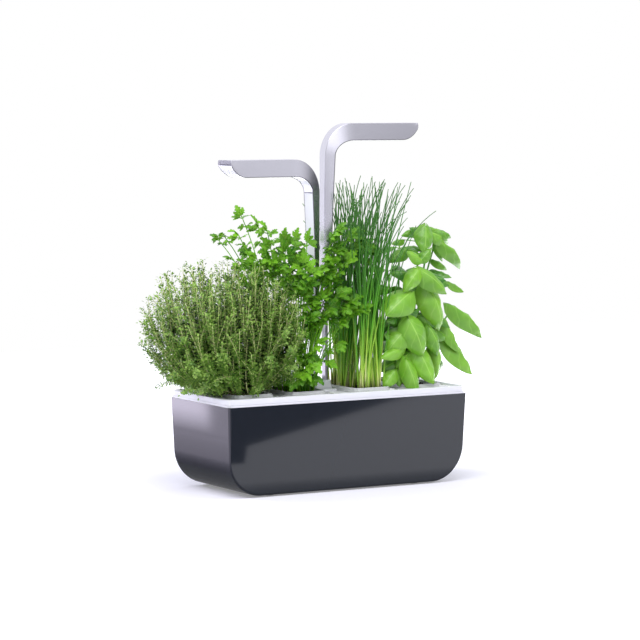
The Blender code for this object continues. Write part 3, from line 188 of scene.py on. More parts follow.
def end_mirror(tree, x, y):
    """The level of the picture in the left end: it brightens upwards, to a lamp that stands on the left."""
    outward = add(tree, "ShaderNodeMapRange", {0: x, 1: -0.20, 2: -0.70})
    rise = add(tree, "ShaderNodeValToRGB", {0: outward.outputs[0]},
               stops=((0, 0.01), (0.10, 0.06), (0.22, 0.13), (0.34, 0.20), (0.45, 0.24), (0.51, 0.29),
                      (0.54, 0.24), (0.57, 0.36), (0.67, 0.64), (0.78, 0.90), (0.88, 0.92), (1, 0.70)))
    lamp = add(tree, "ShaderNodeMath", {0: rise.outputs[0], 1: 5.0}, operation="MULTIPLY")
    # towards the front corner the lamp ends, and the top of the end face is dimmer there
    corner = add(tree, "ShaderNodeMath", {0: x, 1: 1.903, 2: y}, operation="MULTIPLY_ADD")
    inside = add(tree, "ShaderNodeMapRange", {0: corner.outputs[0], 1: -0.448, 2: -0.402},
                 interpolation_type="SMOOTHSTEP")
    dim = add(tree, "ShaderNodeMath", {0: lamp.outputs[0], 1: 1.5}, operation="MINIMUM")
    end = add(tree, "ShaderNodeMix", {0: inside.outputs[0], 2: dim.outputs[0], 3: lamp.outputs[0]},
              data_type="FLOAT")
    return end.outputs[0]


# %% [markdown]
# To the camera the same table is plain white paper with the soft shadow of the studio's lamps on it. Their
# light fades with distance, which would make the paper grey further off, so its own glow grows as they fade.

# %% The table
def table_finish():
    """White paper to the camera, and the laid-out picture to polished things."""
    material = bpy.data.materials.new("white_table")
    material.use_nodes = True
    tree = material.node_tree
    tree.nodes.clear()
    coords = add(tree, "ShaderNodeTexCoord").outputs["Object"]
    where = add(tree, "ShaderNodeSeparateXYZ", {0: coords}).outputs
    x, y = where["X"], where["Y"]
    by_end = add(tree, "ShaderNodeMapRange", {0: x, 1: -0.225, 2: -0.215, 3: 1.0, 4: 0.0})
    level = add(tree, "ShaderNodeMix",
                {0: by_end.outputs[0], 2: front_mirror(tree, x, y), 3: end_mirror(tree, x, y)}, data_type="FLOAT")
    tint = add(tree, "ShaderNodeMix", {0: by_end.outputs[0], 6: hex_light("F4F4FA"), 7: hex_light("F1E9FF")},
               data_type="RGBA")
    mirrored = add(tree, "ShaderNodeEmission", {"Color": tint.outputs[2], "Strength": level.outputs[0]})
    away = add(tree, "ShaderNodeVectorMath", {0: coords}, operation="LENGTH")
    growing = add(tree, "ShaderNodeMapRange", {0: away.outputs["Value"], 1: 0.24, 2: 1.1, 3: 0.24, 4: 0.82})
    own_light = add(tree, "ShaderNodeEmission", {"Color": hex_light("FFFFFF"), "Strength": growing.outputs[0]})
    paper = add(tree, "ShaderNodeBsdfDiffuse", {"Color": hex_light("E9E8F2")}).outputs[0]
    lit_paper = add(tree, "ShaderNodeAddShader", {0: paper, 1: own_light.outputs[0]})
    rays = add(tree, "ShaderNodeLightPath").outputs
    plain = add(tree, "ShaderNodeMixShader", {0: rays["Is Camera Ray"], 1: paper, 2: lit_paper.outputs[0]})
    both = add(tree, "ShaderNodeMixShader",
               {0: rays["Is Glossy Ray"], 1: plain.outputs[0], 2: mirrored.outputs[0]})
    add(tree, "ShaderNodeOutputMaterial", {"Surface": both.outputs[0]})
    return material


table_bm = bmesh.new()
bmesh.ops.create_grid(table_bm, x_segments=1, y_segments=1, size=2.2)
table_mesh = to_mesh("floor", table_bm)
table_mesh.materials.append(table_finish())
floor = bpy.data.objects.new("floor", table_mesh)
bpy.context.scene.collection.objects.link(floor)

# %% [markdown]
# The brushed lamps mirror the walls instead, because they stand above the table and turn all ways. From left to
# right the wall in front shows them a white sheet, a softbox, a grey gap, another softbox and a black flag.
# A flag is a black card that photographers use to give bright metal a dark edge. Behind them is plain white.

# %% The white room
def white_room(sky):
    """The background: white to the camera, a soft fill to matt things, and set walls to metal."""
    toward = add(sky, "ShaderNodeSeparateXYZ", {0: add(sky, "ShaderNodeTexCoord").outputs["Generated"]}).outputs
    turn = add(sky, "ShaderNodeMapRange", {0: toward["X"], 1: -1.0, 2: 1.0})
    sheets = add(sky, "ShaderNodeValToRGB", {0: turn.outputs[0]},
                 stops=((0, 0.40), (0.38, 0.36), (0.48, 0.50), (0.57, 0.50), (0.64, 0.31), (0.70, 0.21),
                        (0.76, 0.34), (0.81, 0.60), (0.86, 0.44), (0.91, 0.05), (1, 0.02)))
    # a ramp holds no more than 1, so it is drawn at half its level
    doubled = add(sky, "ShaderNodeMath", {0: sheets.outputs[0], 1: 2.0}, operation="MULTIPLY")
    # a bright box hangs high in the middle, and the bend of the right lamp mirrors it
    offset = add(sky, "ShaderNodeMath", {0: toward["X"], 1: 0.05}, operation="SUBTRACT")
    sideways = add(sky, "ShaderNodeMath", {0: offset.outputs[0]}, operation="ABSOLUTE")
    width = add(sky, "ShaderNodeMapRange", {0: sideways.outputs[0], 1: 0.22, 2: 0.32, 3: 1.8, 4: 0.0})
    height = add(sky, "ShaderNodeMapRange", {0: toward["Z"], 1: 0.04, 2: 0.16})
    high_box = add(sky, "ShaderNodeMath", {0: width.outputs[0], 1: height.outputs[0]}, operation="MULTIPLY")
    ahead = add(sky, "ShaderNodeMath", {0: doubled.outputs[0], 1: high_box.outputs[0]}, operation="MAXIMUM")
    behind = add(sky, "ShaderNodeMapRange", {0: toward["Y"], 1: 0.02, 2: 0.15})
    walls = add(sky, "ShaderNodeMix", {0: behind.outputs[0], 2: ahead.outputs[0], 3: 1.15}, data_type="FLOAT")
    studio = add(sky, "ShaderNodeBackground", {"Color": hex_light("F2F2FA"), "Strength": walls.outputs[0]})
    fill = add(sky, "ShaderNodeBackground", {"Color": hex_light("F3F5FF"), "Strength": 0.70})
    white = add(sky, "ShaderNodeBackground", {"Color": hex_light("FFFFFF"), "Strength": 1.0})
    rays = add(sky, "ShaderNodeLightPath").outputs
    direct = add(sky, "ShaderNodeMath", {0: rays["Is Camera Ray"], 1: rays["Is Transmission Ray"]},
                 operation="MAXIMUM")
    bounced = add(sky, "ShaderNodeMixShader",
                  {0: rays["Is Glossy Ray"], 1: fill.outputs[0], 2: studio.outputs[0]})
    chosen = add(sky, "ShaderNodeMixShader",
                 {0: direct.outputs[0], 1: bounced.outputs[0], 2: white.outputs[0]})
    add(sky, "ShaderNodeOutputWorld", {"Surface": chosen.outputs[0]})


world = bpy.data.worlds.new("white_studio")
bpy.context.scene.world = world
world.use_nodes = True
world.node_tree.nodes.clear()
white_room(world.node_tree)


# %% [markdown]
# Three softboxes do the lighting. The key hangs above on the left, a fill on the right opens the shadows, and
# one behind on the left gives the leaves their bright rims. Only the key is let into the reflections.

# %% The softboxes
def softbox(name, place, target, size, watts, colour="FFFFFF", mirrored=False):
    """A rectangular studio lamp that the camera doesn't see, nor polished surfaces unless it is mirrored."""
    light = bpy.data.lights.new(name, "AREA")
    light.shape = "RECTANGLE"
    light.size, light.size_y = size
    light.energy = watts
    light.color = hex_light(colour)[:3]
    lamp = bpy.data.objects.new(name, light)
    lamp.location = place
    lamp.rotation_euler = (Vector(target) - Vector(place)).to_track_quat("-Z", "Y").to_euler()
    lamp.visible_camera = False
    lamp.visible_glossy = mirrored
    bpy.context.scene.collection.objects.link(lamp)


softbox("key_above", (-0.9, -1.3, 2.3), (0, 0, 0.2), (1.6, 1.2), 32, mirrored=True)
softbox("fill_right", (2.2, -1.2, 1.4), (0, 0, 0.25), (1.4, 1.2), 18)
softbox("rim_back_left", (-1.5, 1.4, 1.2), (-0.20, 0.0, 0.25), (0.9, 0.9), 22, "F3F0FF")

# %% [markdown]
# ## Finishes of the moulded and metal parts
# Gloss ABS is a dark plastic that takes a polished mould's shine. What the eye reads is the sharp reflection,
# and a faint ripple, called orange peel, where the thick wall has shrunk. The ripple is about 20 mm wide, so
# it is a soft noise of that size in the bump. A haze of dust, finer than a millimetre, varies the polish.
#
# The white parts are satin ABS. Their mould is spark-eroded, which leaves an even fine grain. The other
# plastics, the silicone, the rubber and the felt differ from it in colour, in sheen and in grain size.

# %% Plastics
RIPPLE_MM, DUST_MM, CLOUD_MM = 22.2, 1.11, 111.0        # widths of the ripple, the dust and faint clouds of tone


def darker(colour, share):
    """A colour at a share of its light."""
    return [c * share for c in hex_light(colour)[:3]] + [1.0]


def gloss_abs():
    """Polished dark ABS with a clear skin, a faint ripple and a haze of dust."""
    material, tree, shader, coords = finish_named("gloss_abs_graphite", "23272E", Roughness=0.07, IOR=1.5,
                                                  Coat_Weight=0.45, Coat_Roughness=0.05)
    ripple = add(tree, "ShaderNodeTexNoise", {"Vector": coords, "Scale": 1000.0 / RIPPLE_MM, "Detail": 1.0})
    peel = add(tree, "ShaderNodeBump", {"Height": ripple.outputs[0], "Strength": 0.025, "Distance": 0.0006})
    tree.links.new(peel.outputs[0], shader.inputs["Normal"])
    dust = add(tree, "ShaderNodeTexNoise", {"Vector": coords, "Scale": 1000.0 / DUST_MM, "Detail": 3.0})
    haze = add(tree, "ShaderNodeMapRange", {0: dust.outputs[0], 1: 0.3, 2: 0.8, 3: 0.07, 4: 0.10})
    tree.links.new(haze.outputs[0], shader.inputs["Roughness"])
    return material


def satin_abs(name, colour, roughness, grain_mm=0.6):
    """Moulded plastic with the fine grain of its mould, drawn no finer than the render can show."""
    material, tree, shader, coords = finish_named(name, Roughness=roughness, IOR=1.5)
    grain = add(tree, "ShaderNodeTexNoise", {"Vector": coords, "Scale": 1000.0 / grain_mm, "Detail": 2.0})
    relief = add(tree, "ShaderNodeBump", {"Height": grain.outputs[0], "Strength": 0.12, "Distance": 0.0001})
    tree.links.new(relief.outputs[0], shader.inputs["Normal"])
    cloud = add(tree, "ShaderNodeTexNoise", {"Vector": coords, "Scale": 1000.0 / CLOUD_MM, "Detail": 2.0})
    tone = add(tree, "ShaderNodeMix", {0: cloud.outputs[0], 6: hex_light(colour), 7: darker(colour, 0.94)},
               data_type="RGBA")
    tree.links.new(tone.outputs[2], shader.inputs["Base Color"])
    return material


GLOSS_ABS = gloss_abs()
WHITE_ABS = satin_abs("satin_abs_white", "F4F4F8", 0.28)
BLACK_ABS = satin_abs("moulded_black_abs", "1C1C1E", 0.5)
NYLON = satin_abs("moulded_nylon", "DCDCD8", 0.5)
FLOAT_RED = satin_abs("float_polypropylene", "C8382E", 0.42)
SILICONE = satin_abs("soft_silicone", "CFCFD2", 0.6)
RUBBER = satin_abs("foot_rubber", "26262A", 0.8)
SOLDER_MASK = satin_abs("green_solder_mask", "2E6B46", 0.35)
FELT = satin_abs("pressed_felt", "DAD7CF", 0.95, 0.8)
# the lamps' tip faces take a flat matt grey: painted shade in place of the lit metal
TIP_SHADE_GREY = satin_abs("tip_face_painted_shade", "A09EA8", 0.45, 2.0)
# a flat dark grey for the lamps' thin strips of painted shadow along their joints
SHADOW_STRIP_GREY = satin_abs("painted_shadow_gap", "505156", 0.5)

# the diffuser is given a faint painted glow, so it is a little brighter than white plastic
OPAL = satin_abs("opal_acrylic", "F5F4FC", 0.35, 3.0)
opal_sockets = OPAL.node_tree.nodes["Principled BSDF"].inputs
opal_sockets["Emission Color"].default_value = hex_light("F2F0FF")
opal_sockets["Emission Strength"].default_value = 0.32

# %% [markdown]
# Anodised aluminium is a metal under a thin clear oxide. Before the bath it is brushed or blasted, so its
# highlight is broad and soft. The fine lines run along the arm, which a noise stretched along X draws. The cups
# are crystal polystyrene. Their walls are thin, so most of the light that they show is mirrored from outside.

# %% Metals and clear plastic
WAVE_MM = 16.7          # width of the slow waves in the cups' walls


def anodised(name, colour, roughness, line_mm):
    """Brushed metal: a noise that is squeezed to fine lines, which vary the sheen and the colour a little."""
    material, tree, shader, coords = finish_named(name, Metallic=1.0, Roughness=roughness)
    squeezed = add(tree, "ShaderNodeMapping", {"Vector": coords, "Scale": [1000.0 / size for size in line_mm]})
    lines = add(tree, "ShaderNodeTexNoise", {"Vector": squeezed.outputs[0], "Scale": 1.0, "Detail": 2.0})
    sheen = add(tree, "ShaderNodeMapRange",
                {0: lines.outputs[0], 1: 0.3, 2: 0.7, 3: roughness - 0.01, 4: roughness + 0.01})
    tree.links.new(sheen.outputs[0], shader.inputs["Roughness"])
    tint = add(tree, "ShaderNodeMix", {0: lines.outputs[0], 6: hex_light(colour), 7: darker(colour, 0.98)},
               data_type="RGBA")
    tree.links.new(tint.outputs[2], shader.inputs["Base Color"])
    return material


def clear_styrene():
    """Crystal polystyrene, with the slow waves of a moulded wall."""
    material, tree, shader, coords = finish_named("crystal_polystyrene", "F6F8F8", Roughness=0.08, IOR=1.59,
                                                  Transmission_Weight=0.38)
    flow = add(tree, "ShaderNodeTexNoise", {"Vector": coords, "Scale": 1000.0 / WAVE_MM, "Detail": 2.0})
    waves = add(tree, "ShaderNodeBump", {"Height": flow.outputs[0], "Strength": 0.15, "Distance": 0.0005})
    tree.links.new(waves.outputs[0], shader.inputs["Normal"])
    return material


# each line is as long and as wide as these three sizes in mm say, along X, Y and Z
ALUMINIUM = anodised("anodised_aluminium", "DEDDE4", 0.25, (83.3, 0.833, 2.5))
RAIL_METAL = anodised("extruded_aluminium", "B9B8BE", 0.30, (0.333, 0.333, 50.0))
SPRING_STEEL = anodised("spring_steel", "A9ABAF", 0.28, (0.5, 25.0, 0.5))
STYRENE = clear_styrene()

# %% [markdown]
# The CAD nodes keep their own meshes and only take a finish. Each line below gives a finish and the first
# words of the names of the nodes that wear it. The soil and the herbs get theirs with their finer forms.

# %% Dress the CAD nodes
WEARS = ((GLOSS_ABS, "casing"), (RUBBER, "foot"), (STYRENE, "growing_cup"), (FELT, "wick"), (OPAL, "diffuser"),
         (WHITE_ABS, "reservoir deck mast_collar control_housing mode_button fill_flap float_cage post_strip"),
         (ALUMINIUM, "lamp_cover"), (RAIL_METAL, "mast_rail"), (SPRING_STEEL, "flap_pin friction_spring"),
         (SOLDER_MASK, "control_board led_board"), (NYLON, "slide_bush"), (BLACK_ABS, "dc_jack"),
         (FLOAT_RED, "level_float"), (SILICONE, "button_dome"))
for material, first_words in WEARS:
    for name, node in nodes.items():
        if name.startswith(tuple(first_words.split())):
            node.data.materials.clear()
            node.data.materials.append(material)
print("finishes:", len(bpy.data.materials))

# %% [markdown]
# ## The tank
# The tank is one deep moulding: straight front, and ends that turn under in a big round. The CAD solid has the
# true outline in coarse steps, which a mirror-like gloss would show, so the same outline is made again with
# finer rounds. It starts as a block. Two bevels round its low ends and its edges, the lid comes off, and the
# walls lean in to the floor as the mould needs.

# %% Shape the tank
TANK = {"length": 0.410, "depth": 0.180, "top": 0.134, "base": 0.0025, "end_radius": 0.053,
        "edge_radius": 0.0034, "lean": 0.005, "wall": 0.0026}


def tank_block():
    """The U-shaped block, with finely rounded low ends."""
    bm = bmesh.new()
    bmesh.ops.create_cube(bm, size=1.0)
    height = TANK["top"] - TANK["base"]
    bmesh.ops.scale(bm, vec=(TANK["length"], TANK["depth"], height), verts=bm.verts)
    bmesh.ops.translate(bm, vec=(0, 0, (TANK["top"] + TANK["base"]) / 2), verts=bm.verts)
    low_ends = [e for e in bm.edges if all(v.co.z < TANK["base"] + 0.001 for v in e.verts)
                and abs(e.verts[0].co.x - e.verts[1].co.x) < 0.001]
    bmesh.ops.bevel(bm, geom=low_ends, offset=TANK["end_radius"], segments=40, profile=0.5,
                    affect="EDGES", material=-1)
    return bm


def lean_in(bm):
    """Lean every wall in towards the floor."""
    for vert in bm.verts:
        share = (TANK["top"] - vert.co.z) / TANK["top"]
        vert.co.x *= 1 - share * TANK["lean"] / (TANK["length"] / 2)
        vert.co.y *= 1 - share * TANK["lean"] / (TANK["depth"] / 2)


def tank_shell():
    """The tank's skin, open at the top."""
    bm = tank_block()
    outline = [e for e in bm.edges if abs(e.verts[0].co.y - e.verts[1].co.y) < 1e-6
               and min(v.co.z for v in e.verts) < TANK["top"] - 0.001]
    bmesh.ops.bevel(bm, geom=outline, offset=TANK["edge_radius"], segments=10, profile=0.5,
                    affect="EDGES", material=-1)
    lid = [f for f in bm.faces if f.normal.z > 0.9]
    bmesh.ops.delete(bm, geom=lid, context="FACES")
    lean_in(bm)
    # the front and back are flat mirrors, so their normals mustn't blend into the rounded edge
    for face in bm.faces:
        if face.calc_area() > 0.03:
            for edge in face.edges:
                edge.smooth = False
    return bm


def thicken(obj, wall):
    """Give a skin its wall, grown inwards."""
    solid = obj.modifiers.new("wall", "SOLIDIFY")
    solid.thickness = wall
    solid.offset = -1.0


def even_shading(obj, weight):
    """Let the broad faces set the shading, and keep marked edges crisp."""
    even = obj.modifiers.new("even_shading", "WEIGHTED_NORMAL")
    even.weight = weight
    even.keep_sharp = True


shell = piece("tank_shell", tank_shell(), "base", [GLOSS_ABS], stands_for=["casing"])
thicken(shell, TANK["wall"])
even_shading(shell, 90)

# %% [markdown]
# ## The lamps
# Each lamp is one folded sheet of aluminium: a channel that climbs the mast, bends over and widens to its tip.
# Modelling it bent would mean fitting dozens of unlike cross-sections. It is easier to model it flat. A box
# is sliced across many times, its underside and mouth are opened, and each slice is carried to its place.

# %% Where each slice of a lamp goes
LAMP = {"height": 0.266, "reach": 0.162, "arm": 0.0256, "gap": 0.0045, "mouth": 0.0095, "bend": 0.0150,
        "straight": 0.070, "outer_bend": (0.045, 0.050), "inner_bend": (0.031, 0.024), "tip": 0.0060,
        "tip_curve": 0.027, "sheet": 0.0011}
WIDTHS = {"mouth": (0.0140, 0.0240), "bend": (0.0168, 0.0270), "tip": (0.0390, 0.0410)}     # convex, open side
LAMP_TOPS = {"left": 0.488, "right": 0.541}
POST_TOP = LAMP["height"] - LAMP["outer_bend"][1]
BEND_START, BEND_END = 0.45, 0.65       # shares of the lamp's length where the bend lies
QUARTER = math.pi / 2


def mix(start, end, share):
    return start + (end - start) * share


def widths_between(start, end, share):
    return tuple(mix(first, last, share) for first, last in zip(WIDTHS[start], WIDTHS[end]))


def lamp_slice(share):
    """The convex point, the open side's point and the widths of both sides, a share of the way to the tip."""
    if share <= BEND_START:
        height = POST_TOP * share / BEND_START
        rise = max(0.0, height - LAMP["straight"]) / (POST_TOP - LAMP["straight"])
        thickness = mix(LAMP["mouth"], LAMP["bend"], rise ** 1.4)
        widths = widths_between("mouth", "bend", height / POST_TOP)
        return Vector((LAMP["gap"], height)), Vector((LAMP["gap"] + thickness, height)), widths
    if share <= BEND_END:
        angle = QUARTER * (share - BEND_START) / (BEND_END - BEND_START)
        reach, rise = 1 - math.cos(angle), math.sin(angle)
        outer = Vector((LAMP["gap"] + LAMP["outer_bend"][0] * reach, POST_TOP + LAMP["outer_bend"][1] * rise))
        low = LAMP["height"] - LAMP["arm"] - LAMP["inner_bend"][1]
        inner = Vector((LAMP["gap"] + LAMP["bend"] + LAMP["inner_bend"][0] * reach,
                        low + LAMP["inner_bend"][1] * rise))
    else:
        x = mix(LAMP["gap"] + LAMP["outer_bend"][0], LAMP["reach"], (share - BEND_END) / (1 - BEND_END))
        run = min(1.0, (LAMP["reach"] - x) / LAMP["tip_curve"])
        drop = mix(LAMP["tip"], LAMP["arm"], math.sin(QUARTER * run ** 0.75))
        outer, inner = Vector((x, LAMP["height"])), Vector((x, LAMP["height"] - drop))
    way = (outer.x - LAMP["gap"]) / (LAMP["reach"] - LAMP["gap"])
    return outer, inner, widths_between("bend", "tip", way)


def carry(bm, side, mouth, depths, inset=0.0, start=0.0, end=1.0):
    """Carry a flat blank to the lamp's bend. The blank's X runs along it, Y across and Z inwards."""
    for vert in bm.verts:
        outer, inner, widths = lamp_slice(mix(start, end, vert.co.x))
        thickness = (inner - outer).length
        depth = depths(vert.co.z, thickness)
        half = mix(widths[0], widths[1], depth / thickness) / 2 - inset
        point = outer + (inner - outer) / thickness * depth
        vert.co = Vector((side * point.x, vert.co.y * half, mouth + point.y))
    bmesh.ops.recalc_face_normals(bm, faces=bm.faces)


def flat_blank(slices):
    """A box from 0 to 1 along X, sliced across, with Y from -1 to 1 and Z from 0 to 1."""
    bm = bmesh.new()
    bmesh.ops.create_cube(bm, size=1.0)
    placed = Matrix.Translation((0.5, 0, 0.5)) @ Matrix.Diagonal((1, 2, 1, 1))
    bmesh.ops.transform(bm, matrix=placed, verts=bm.verts)
    long_edges = [e for e in bm.edges if abs(e.verts[0].co.x - e.verts[1].co.x) > 0.5]
    bmesh.ops.subdivide_edges(bm, edges=long_edges, cuts=slices, use_grid_fill=True)
    return bm


# %% [markdown]
# The channel's open side is filled by two strips that lie flush in it: the opal window under the arm and
# round the bend, and a white strip down the post. A thin dark strip of painted shadow runs along the joint
# between the metal and the strips: the fine line of shade that sets the white off from the grey.

# %% Fold the covers, windows and strips, and lay the thin strips of painted shadow
SLICES = 110            # across the whole length of a lamp


def lamp_cover(side, mouth):
    """The channel: its underside and mouth are open, and its long edges are softly broken."""
    bm = flat_blank(SLICES)
    gone = [f for f in bm.faces if f.normal.z > 0.9 or f.normal.x < -0.9]
    bmesh.ops.delete(bm, geom=gone, context="FACES")
    carry(bm, side, mouth, lambda z, thickness: z * thickness)
    # the end face at the tip takes the second finish, a flat grey of painted shade
    for face in bm.faces:
        if face.calc_center_median().x * side > LAMP["reach"] - 0.0001:
            face.material_index = 1
    folds = [e for e in bm.edges if len(e.link_faces) == 2 and e.calc_face_angle(0) > 0.9]
    bmesh.ops.bevel(bm, geom=folds, offset=LAMP["sheet"], segments=3, profile=0.5, affect="EDGES", material=-1)
    bmesh.ops.recalc_face_normals(bm, faces=bm.faces)
    return bm


def lamp_infill(side, mouth, thickness_of, start, end, slices):
    """A strip that lies flush in the channel's open side, between two shares of the lamp's length."""
    bm = flat_blank(slices)
    carry(bm, side, mouth, lambda z, deep: max(deep - 0.0002 - thickness_of * (1 - z), 0.0003), 0.0015, start, end)
    return bm


def lamp_shadow_strip(side, mouth):
    """Two thin dark strips of painted shadow between the channel's edges and what fills its open side."""
    bm = flat_blank(SLICES)
    for vert in bm.verts:
        vert.co.y = 0.985 + 0.015 * vert.co.y
    bmesh.ops.mirror(bm, geom=bm.verts[:] + bm.edges[:] + bm.faces[:], axis="Y", merge_dist=0.0)
    carry(bm, side, mouth, lambda z, deep: deep - 0.0009 + 0.00095 * z, -0.00012, 0.03, 0.996)
    return bm


def sharpen(obj, degrees=35):
    """Mark the true edges, and shade the rest evenly."""
    obj.data.set_sharp_from_angle(angle=math.radians(degrees))
    even_shading(obj, 80)


for end, side in (("left", -1), ("right", 1)):
    body = f"{end}_lamp"
    mouth = LAMP_TOPS[end] - LAMP["height"]
    cover = piece(f"lamp_sheath_{end}", lamp_cover(side, mouth), body, [ALUMINIUM, TIP_SHADE_GREY],
                  stands_for=[f"lamp_cover_{end}"])
    thicken(cover, LAMP["sheet"])
    sharpen(cover, 50)
    window = piece(f"light_window_{end}", lamp_infill(side, mouth, 0.0016, BEND_START + 0.002, 0.995, 90), body,
                   [OPAL], stands_for=[f"diffuser_{end}"])
    strip = piece(f"white_strip_{end}", lamp_infill(side, mouth, 0.0014, 0.0005, BEND_START - 0.002, 30), body,
                  [WHITE_ABS], stands_for=[f"post_strip_{end}"])
    piece(f"lamp_shadow_strip_{end}", lamp_shadow_strip(side, mouth), body, [SHADOW_STRIP_GREY])
    sharpen(window)
    sharpen(strip)

# %% [markdown]
# ## The dome under the button
# Under the mode button sits a small silicone dome, which buckles when the button goes down and springs it back.
# A rigid dome would cut through the pressed button.


def soft_dome(node):
    """A cone frustum with a soft top edge, as tall and as wide as the CAD dome."""
    spots = [v.co for v in node.data.vertices]
    low, high = min(v.z for v in spots), max(v.z for v in spots)
    middle = (min(v.y for v in spots) + max(v.y for v in spots)) / 2
    wide = (max(v.x for v in spots) - min(v.x for v in spots)) / 2
    bm = bmesh.new()
    bmesh.ops.create_cone(bm, cap_ends=True, segments=32, radius1=wide, radius2=wide * 0.43, depth=high - low)
    bmesh.ops.translate(bm, vec=(0, middle, (low + high) / 2), verts=bm.verts)
    crown = [e for e in bm.edges if all(v.co.z > high - 0.0001 for v in e.verts)]
    bmesh.ops.bevel(bm, geom=crown, offset=0.0004, segments=3, profile=0.5, affect="EDGES", material=-1)
    return bm, low, high


dome_bm, dome_low, dome_high = soft_dome(nodes["button_dome"])
dome = piece("silicone_dome", dome_bm, "base", [SILICONE], stands_for=["button_dome"])
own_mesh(dome)

# %% [markdown]
# ## Soil
# The growing medium is peat with bark crumbs. Its surface is never flat, so a grid is pushed up and down by
# two noises, one for heaps about 12 mm wide and one for crumbs of 3 mm. Loose crumbs then lie on top.

# %% Peat
CLOD_MM, CRUMB_MM = 3.125, 2.38


def peat():
    """Dark peat in clods, with finer crumbs standing up from it."""
    material, tree, shader, coords = finish_named("peat_and_bark", Roughness=0.95, IOR=1.4)
    clods = add(tree, "ShaderNodeTexNoise",
                {"Vector": coords, "Scale": 1000.0 / CLOD_MM, "Detail": 5.0, "Roughness": 0.7})
    crumbs = add(tree, "ShaderNodeTexVoronoi", {"Vector": coords, "Scale": 1000.0 / CRUMB_MM})
    tone = add(tree, "ShaderNodeMix", {0: clods.outputs[0], 6: hex_light("17120F"), 7: hex_light("4A3B30")},
               data_type="RGBA")
    relief = add(tree, "ShaderNodeBump", {"Height": crumbs.outputs[0], "Strength": 0.8, "Distance": 0.0012})
    tree.links.new(tone.outputs[2], shader.inputs["Base Color"])
    tree.links.new(relief.outputs[0], shader.inputs["Normal"])
    return material


def stamp(bm, mesh, matrix, tone=None):
    """Copy a finished mesh into a bmesh and return its new points; tone is kept for the materials."""
    start = len(bm.verts)
    bm.from_mesh(mesh)
    bm.verts.ensure_lookup_table()
    fresh = bm.verts[start:]
    bmesh.ops.transform(bm, matrix=matrix, verts=fresh)
    if tone is not None:
        layer = bm.verts.layers.float["tone"]
        for vert in fresh:
            vert[layer] = tone
    return fresh


# %% Fill the cups
PEAT = peat()
CUP_X = {"thyme": -0.146, "parsley": -0.056, "chives": 0.056, "basil": 0.146}
SOIL_TOP = 0.1441
BED = {"half": Vector((0.0296, 0.0606)), "corner": 0.010, "foot": 0.0695, "taper": (0.87, 0.94), "crumbs": 230}


def bed_surface(x0):
    """A grid with rounded corners, heaped and crumbled by noise."""
    half, corner = BED["half"], BED["corner"]
    bm = bmesh.new()
    bmesh.ops.create_grid(bm, x_segments=36, y_segments=74, size=1.0)
    for vert in bm.verts:
        flat = Vector((vert.co.x * half.x, vert.co.y * half.y))
        inner = Vector((max(-half.x + corner, min(half.x - corner, flat.x)),
                        max(-half.y + corner, min(half.y - corner, flat.y))))
        out = flat - inner
        if out.length > corner:
            flat = inner + out.normalized() * corner
        spot = Vector((flat.x + x0, flat.y, 0))
        rise = 0.0011 * noise.noise(spot * 80) + 0.0008 * noise.noise(spot * 330)
        vert.co = Vector((flat.x + x0, flat.y, SOIL_TOP + rise - 0.0004))
    return bm


def crumb_mesh():
    """One lumpy crumb, a unit in radius."""
    lump = bmesh.new()
    bmesh.ops.create_icosphere(lump, subdivisions=1, radius=1.0)
    for vert in lump.verts:
        vert.co *= 1 + 0.35 * noise.noise(vert.co * 3)
    return to_mesh("crumb", lump)


def peat_bed(x0, chance):
    """The block of peat in one cup, with loose crumbs on it."""
    bm = bed_surface(x0)
    rim = bmesh.ops.extrude_edge_only(bm, edges=[e for e in bm.edges if e.is_boundary])["geom"]
    for vert in [g for g in rim if isinstance(g, bmesh.types.BMVert)]:
        vert.co = Vector((x0 + (vert.co.x - x0) * BED["taper"][0], vert.co.y * BED["taper"][1], BED["foot"]))
    bmesh.ops.contextual_create(bm, geom=[e for e in bm.edges if e.is_boundary])
    bmesh.ops.recalc_face_normals(bm, faces=bm.faces)
    crumb = crumb_mesh()
    for _ in range(BED["crumbs"]):
        spot = Vector((x0 + chance.uniform(-0.027, 0.027), chance.uniform(-0.057, 0.057), SOIL_TOP + 0.0002))
        size = Matrix.Diagonal([chance.uniform(0.0005, 0.0016) for _ in range(3)]).to_4x4()
        stamp(bm, crumb, Matrix.Translation(spot) @ Matrix.Rotation(chance.uniform(0, 6.3), 4, "Z") @ size)
    return bm


for number, x0 in enumerate(CUP_X.values(), start=1):
    piece(f"peat_bed_{number}", peat_bed(x0, random.Random(number)), "base", [PEAT],
          stands_for=[f"substrate_{number}"])

# %% [markdown]
# ## Leaves and stems
# A leaf is a small sheet. It starts as a grid, which is narrowed to the leaf's outline, folded along its
# midrib and curled towards its tip. One good leaf of each kind is made first, and copies of it are then laid
# along the stems, each turned and sized by chance. A stem is a thin cone that is sliced and carried onto a curve.

# %% One leaf and one stem
def bunch():
    """An empty bmesh with the leaf's own map and the tone of each leaf."""
    bm = bmesh.new()
    bm.loops.layers.uv.new("leaf")
    bm.verts.layers.float.new("tone")
    return bm


def leaf_mesh(name, length, width, outline, columns=2, rows=2, fold=0.25, curl=0.3, pucker=0.0, dome=1.0,
              heart=0.0):
    """A leaf along Y, upper side up. Dome 1 folds it to a V, dome 2 rounds it, and heart rounds its base."""
    bm = bunch()
    bmesh.ops.create_grid(bm, x_segments=columns, y_segments=rows, size=0.5, calc_uvs=True)
    for vert in bm.verts:
        across, along = vert.co.x * 2, vert.co.y + 0.5
        half = outline(along) * width / 2
        back = heart * across * across * (1 - along) ** 2
        bulge = pucker * math.sin(along * 5.5 * math.pi + abs(across) * 2.0) * abs(across) * (1 - abs(across)) * 4
        turn = curl * along
        drop = curl * along * along / 2
        lift = abs(across) ** dome * half * fold + bulge
        ahead = (along * (1 - turn * turn / 6) - back) * length + lift * math.sin(turn)
        vert.co = Vector((across * half, ahead, lift * math.cos(turn) - drop * length))
    return to_mesh(name, bm)


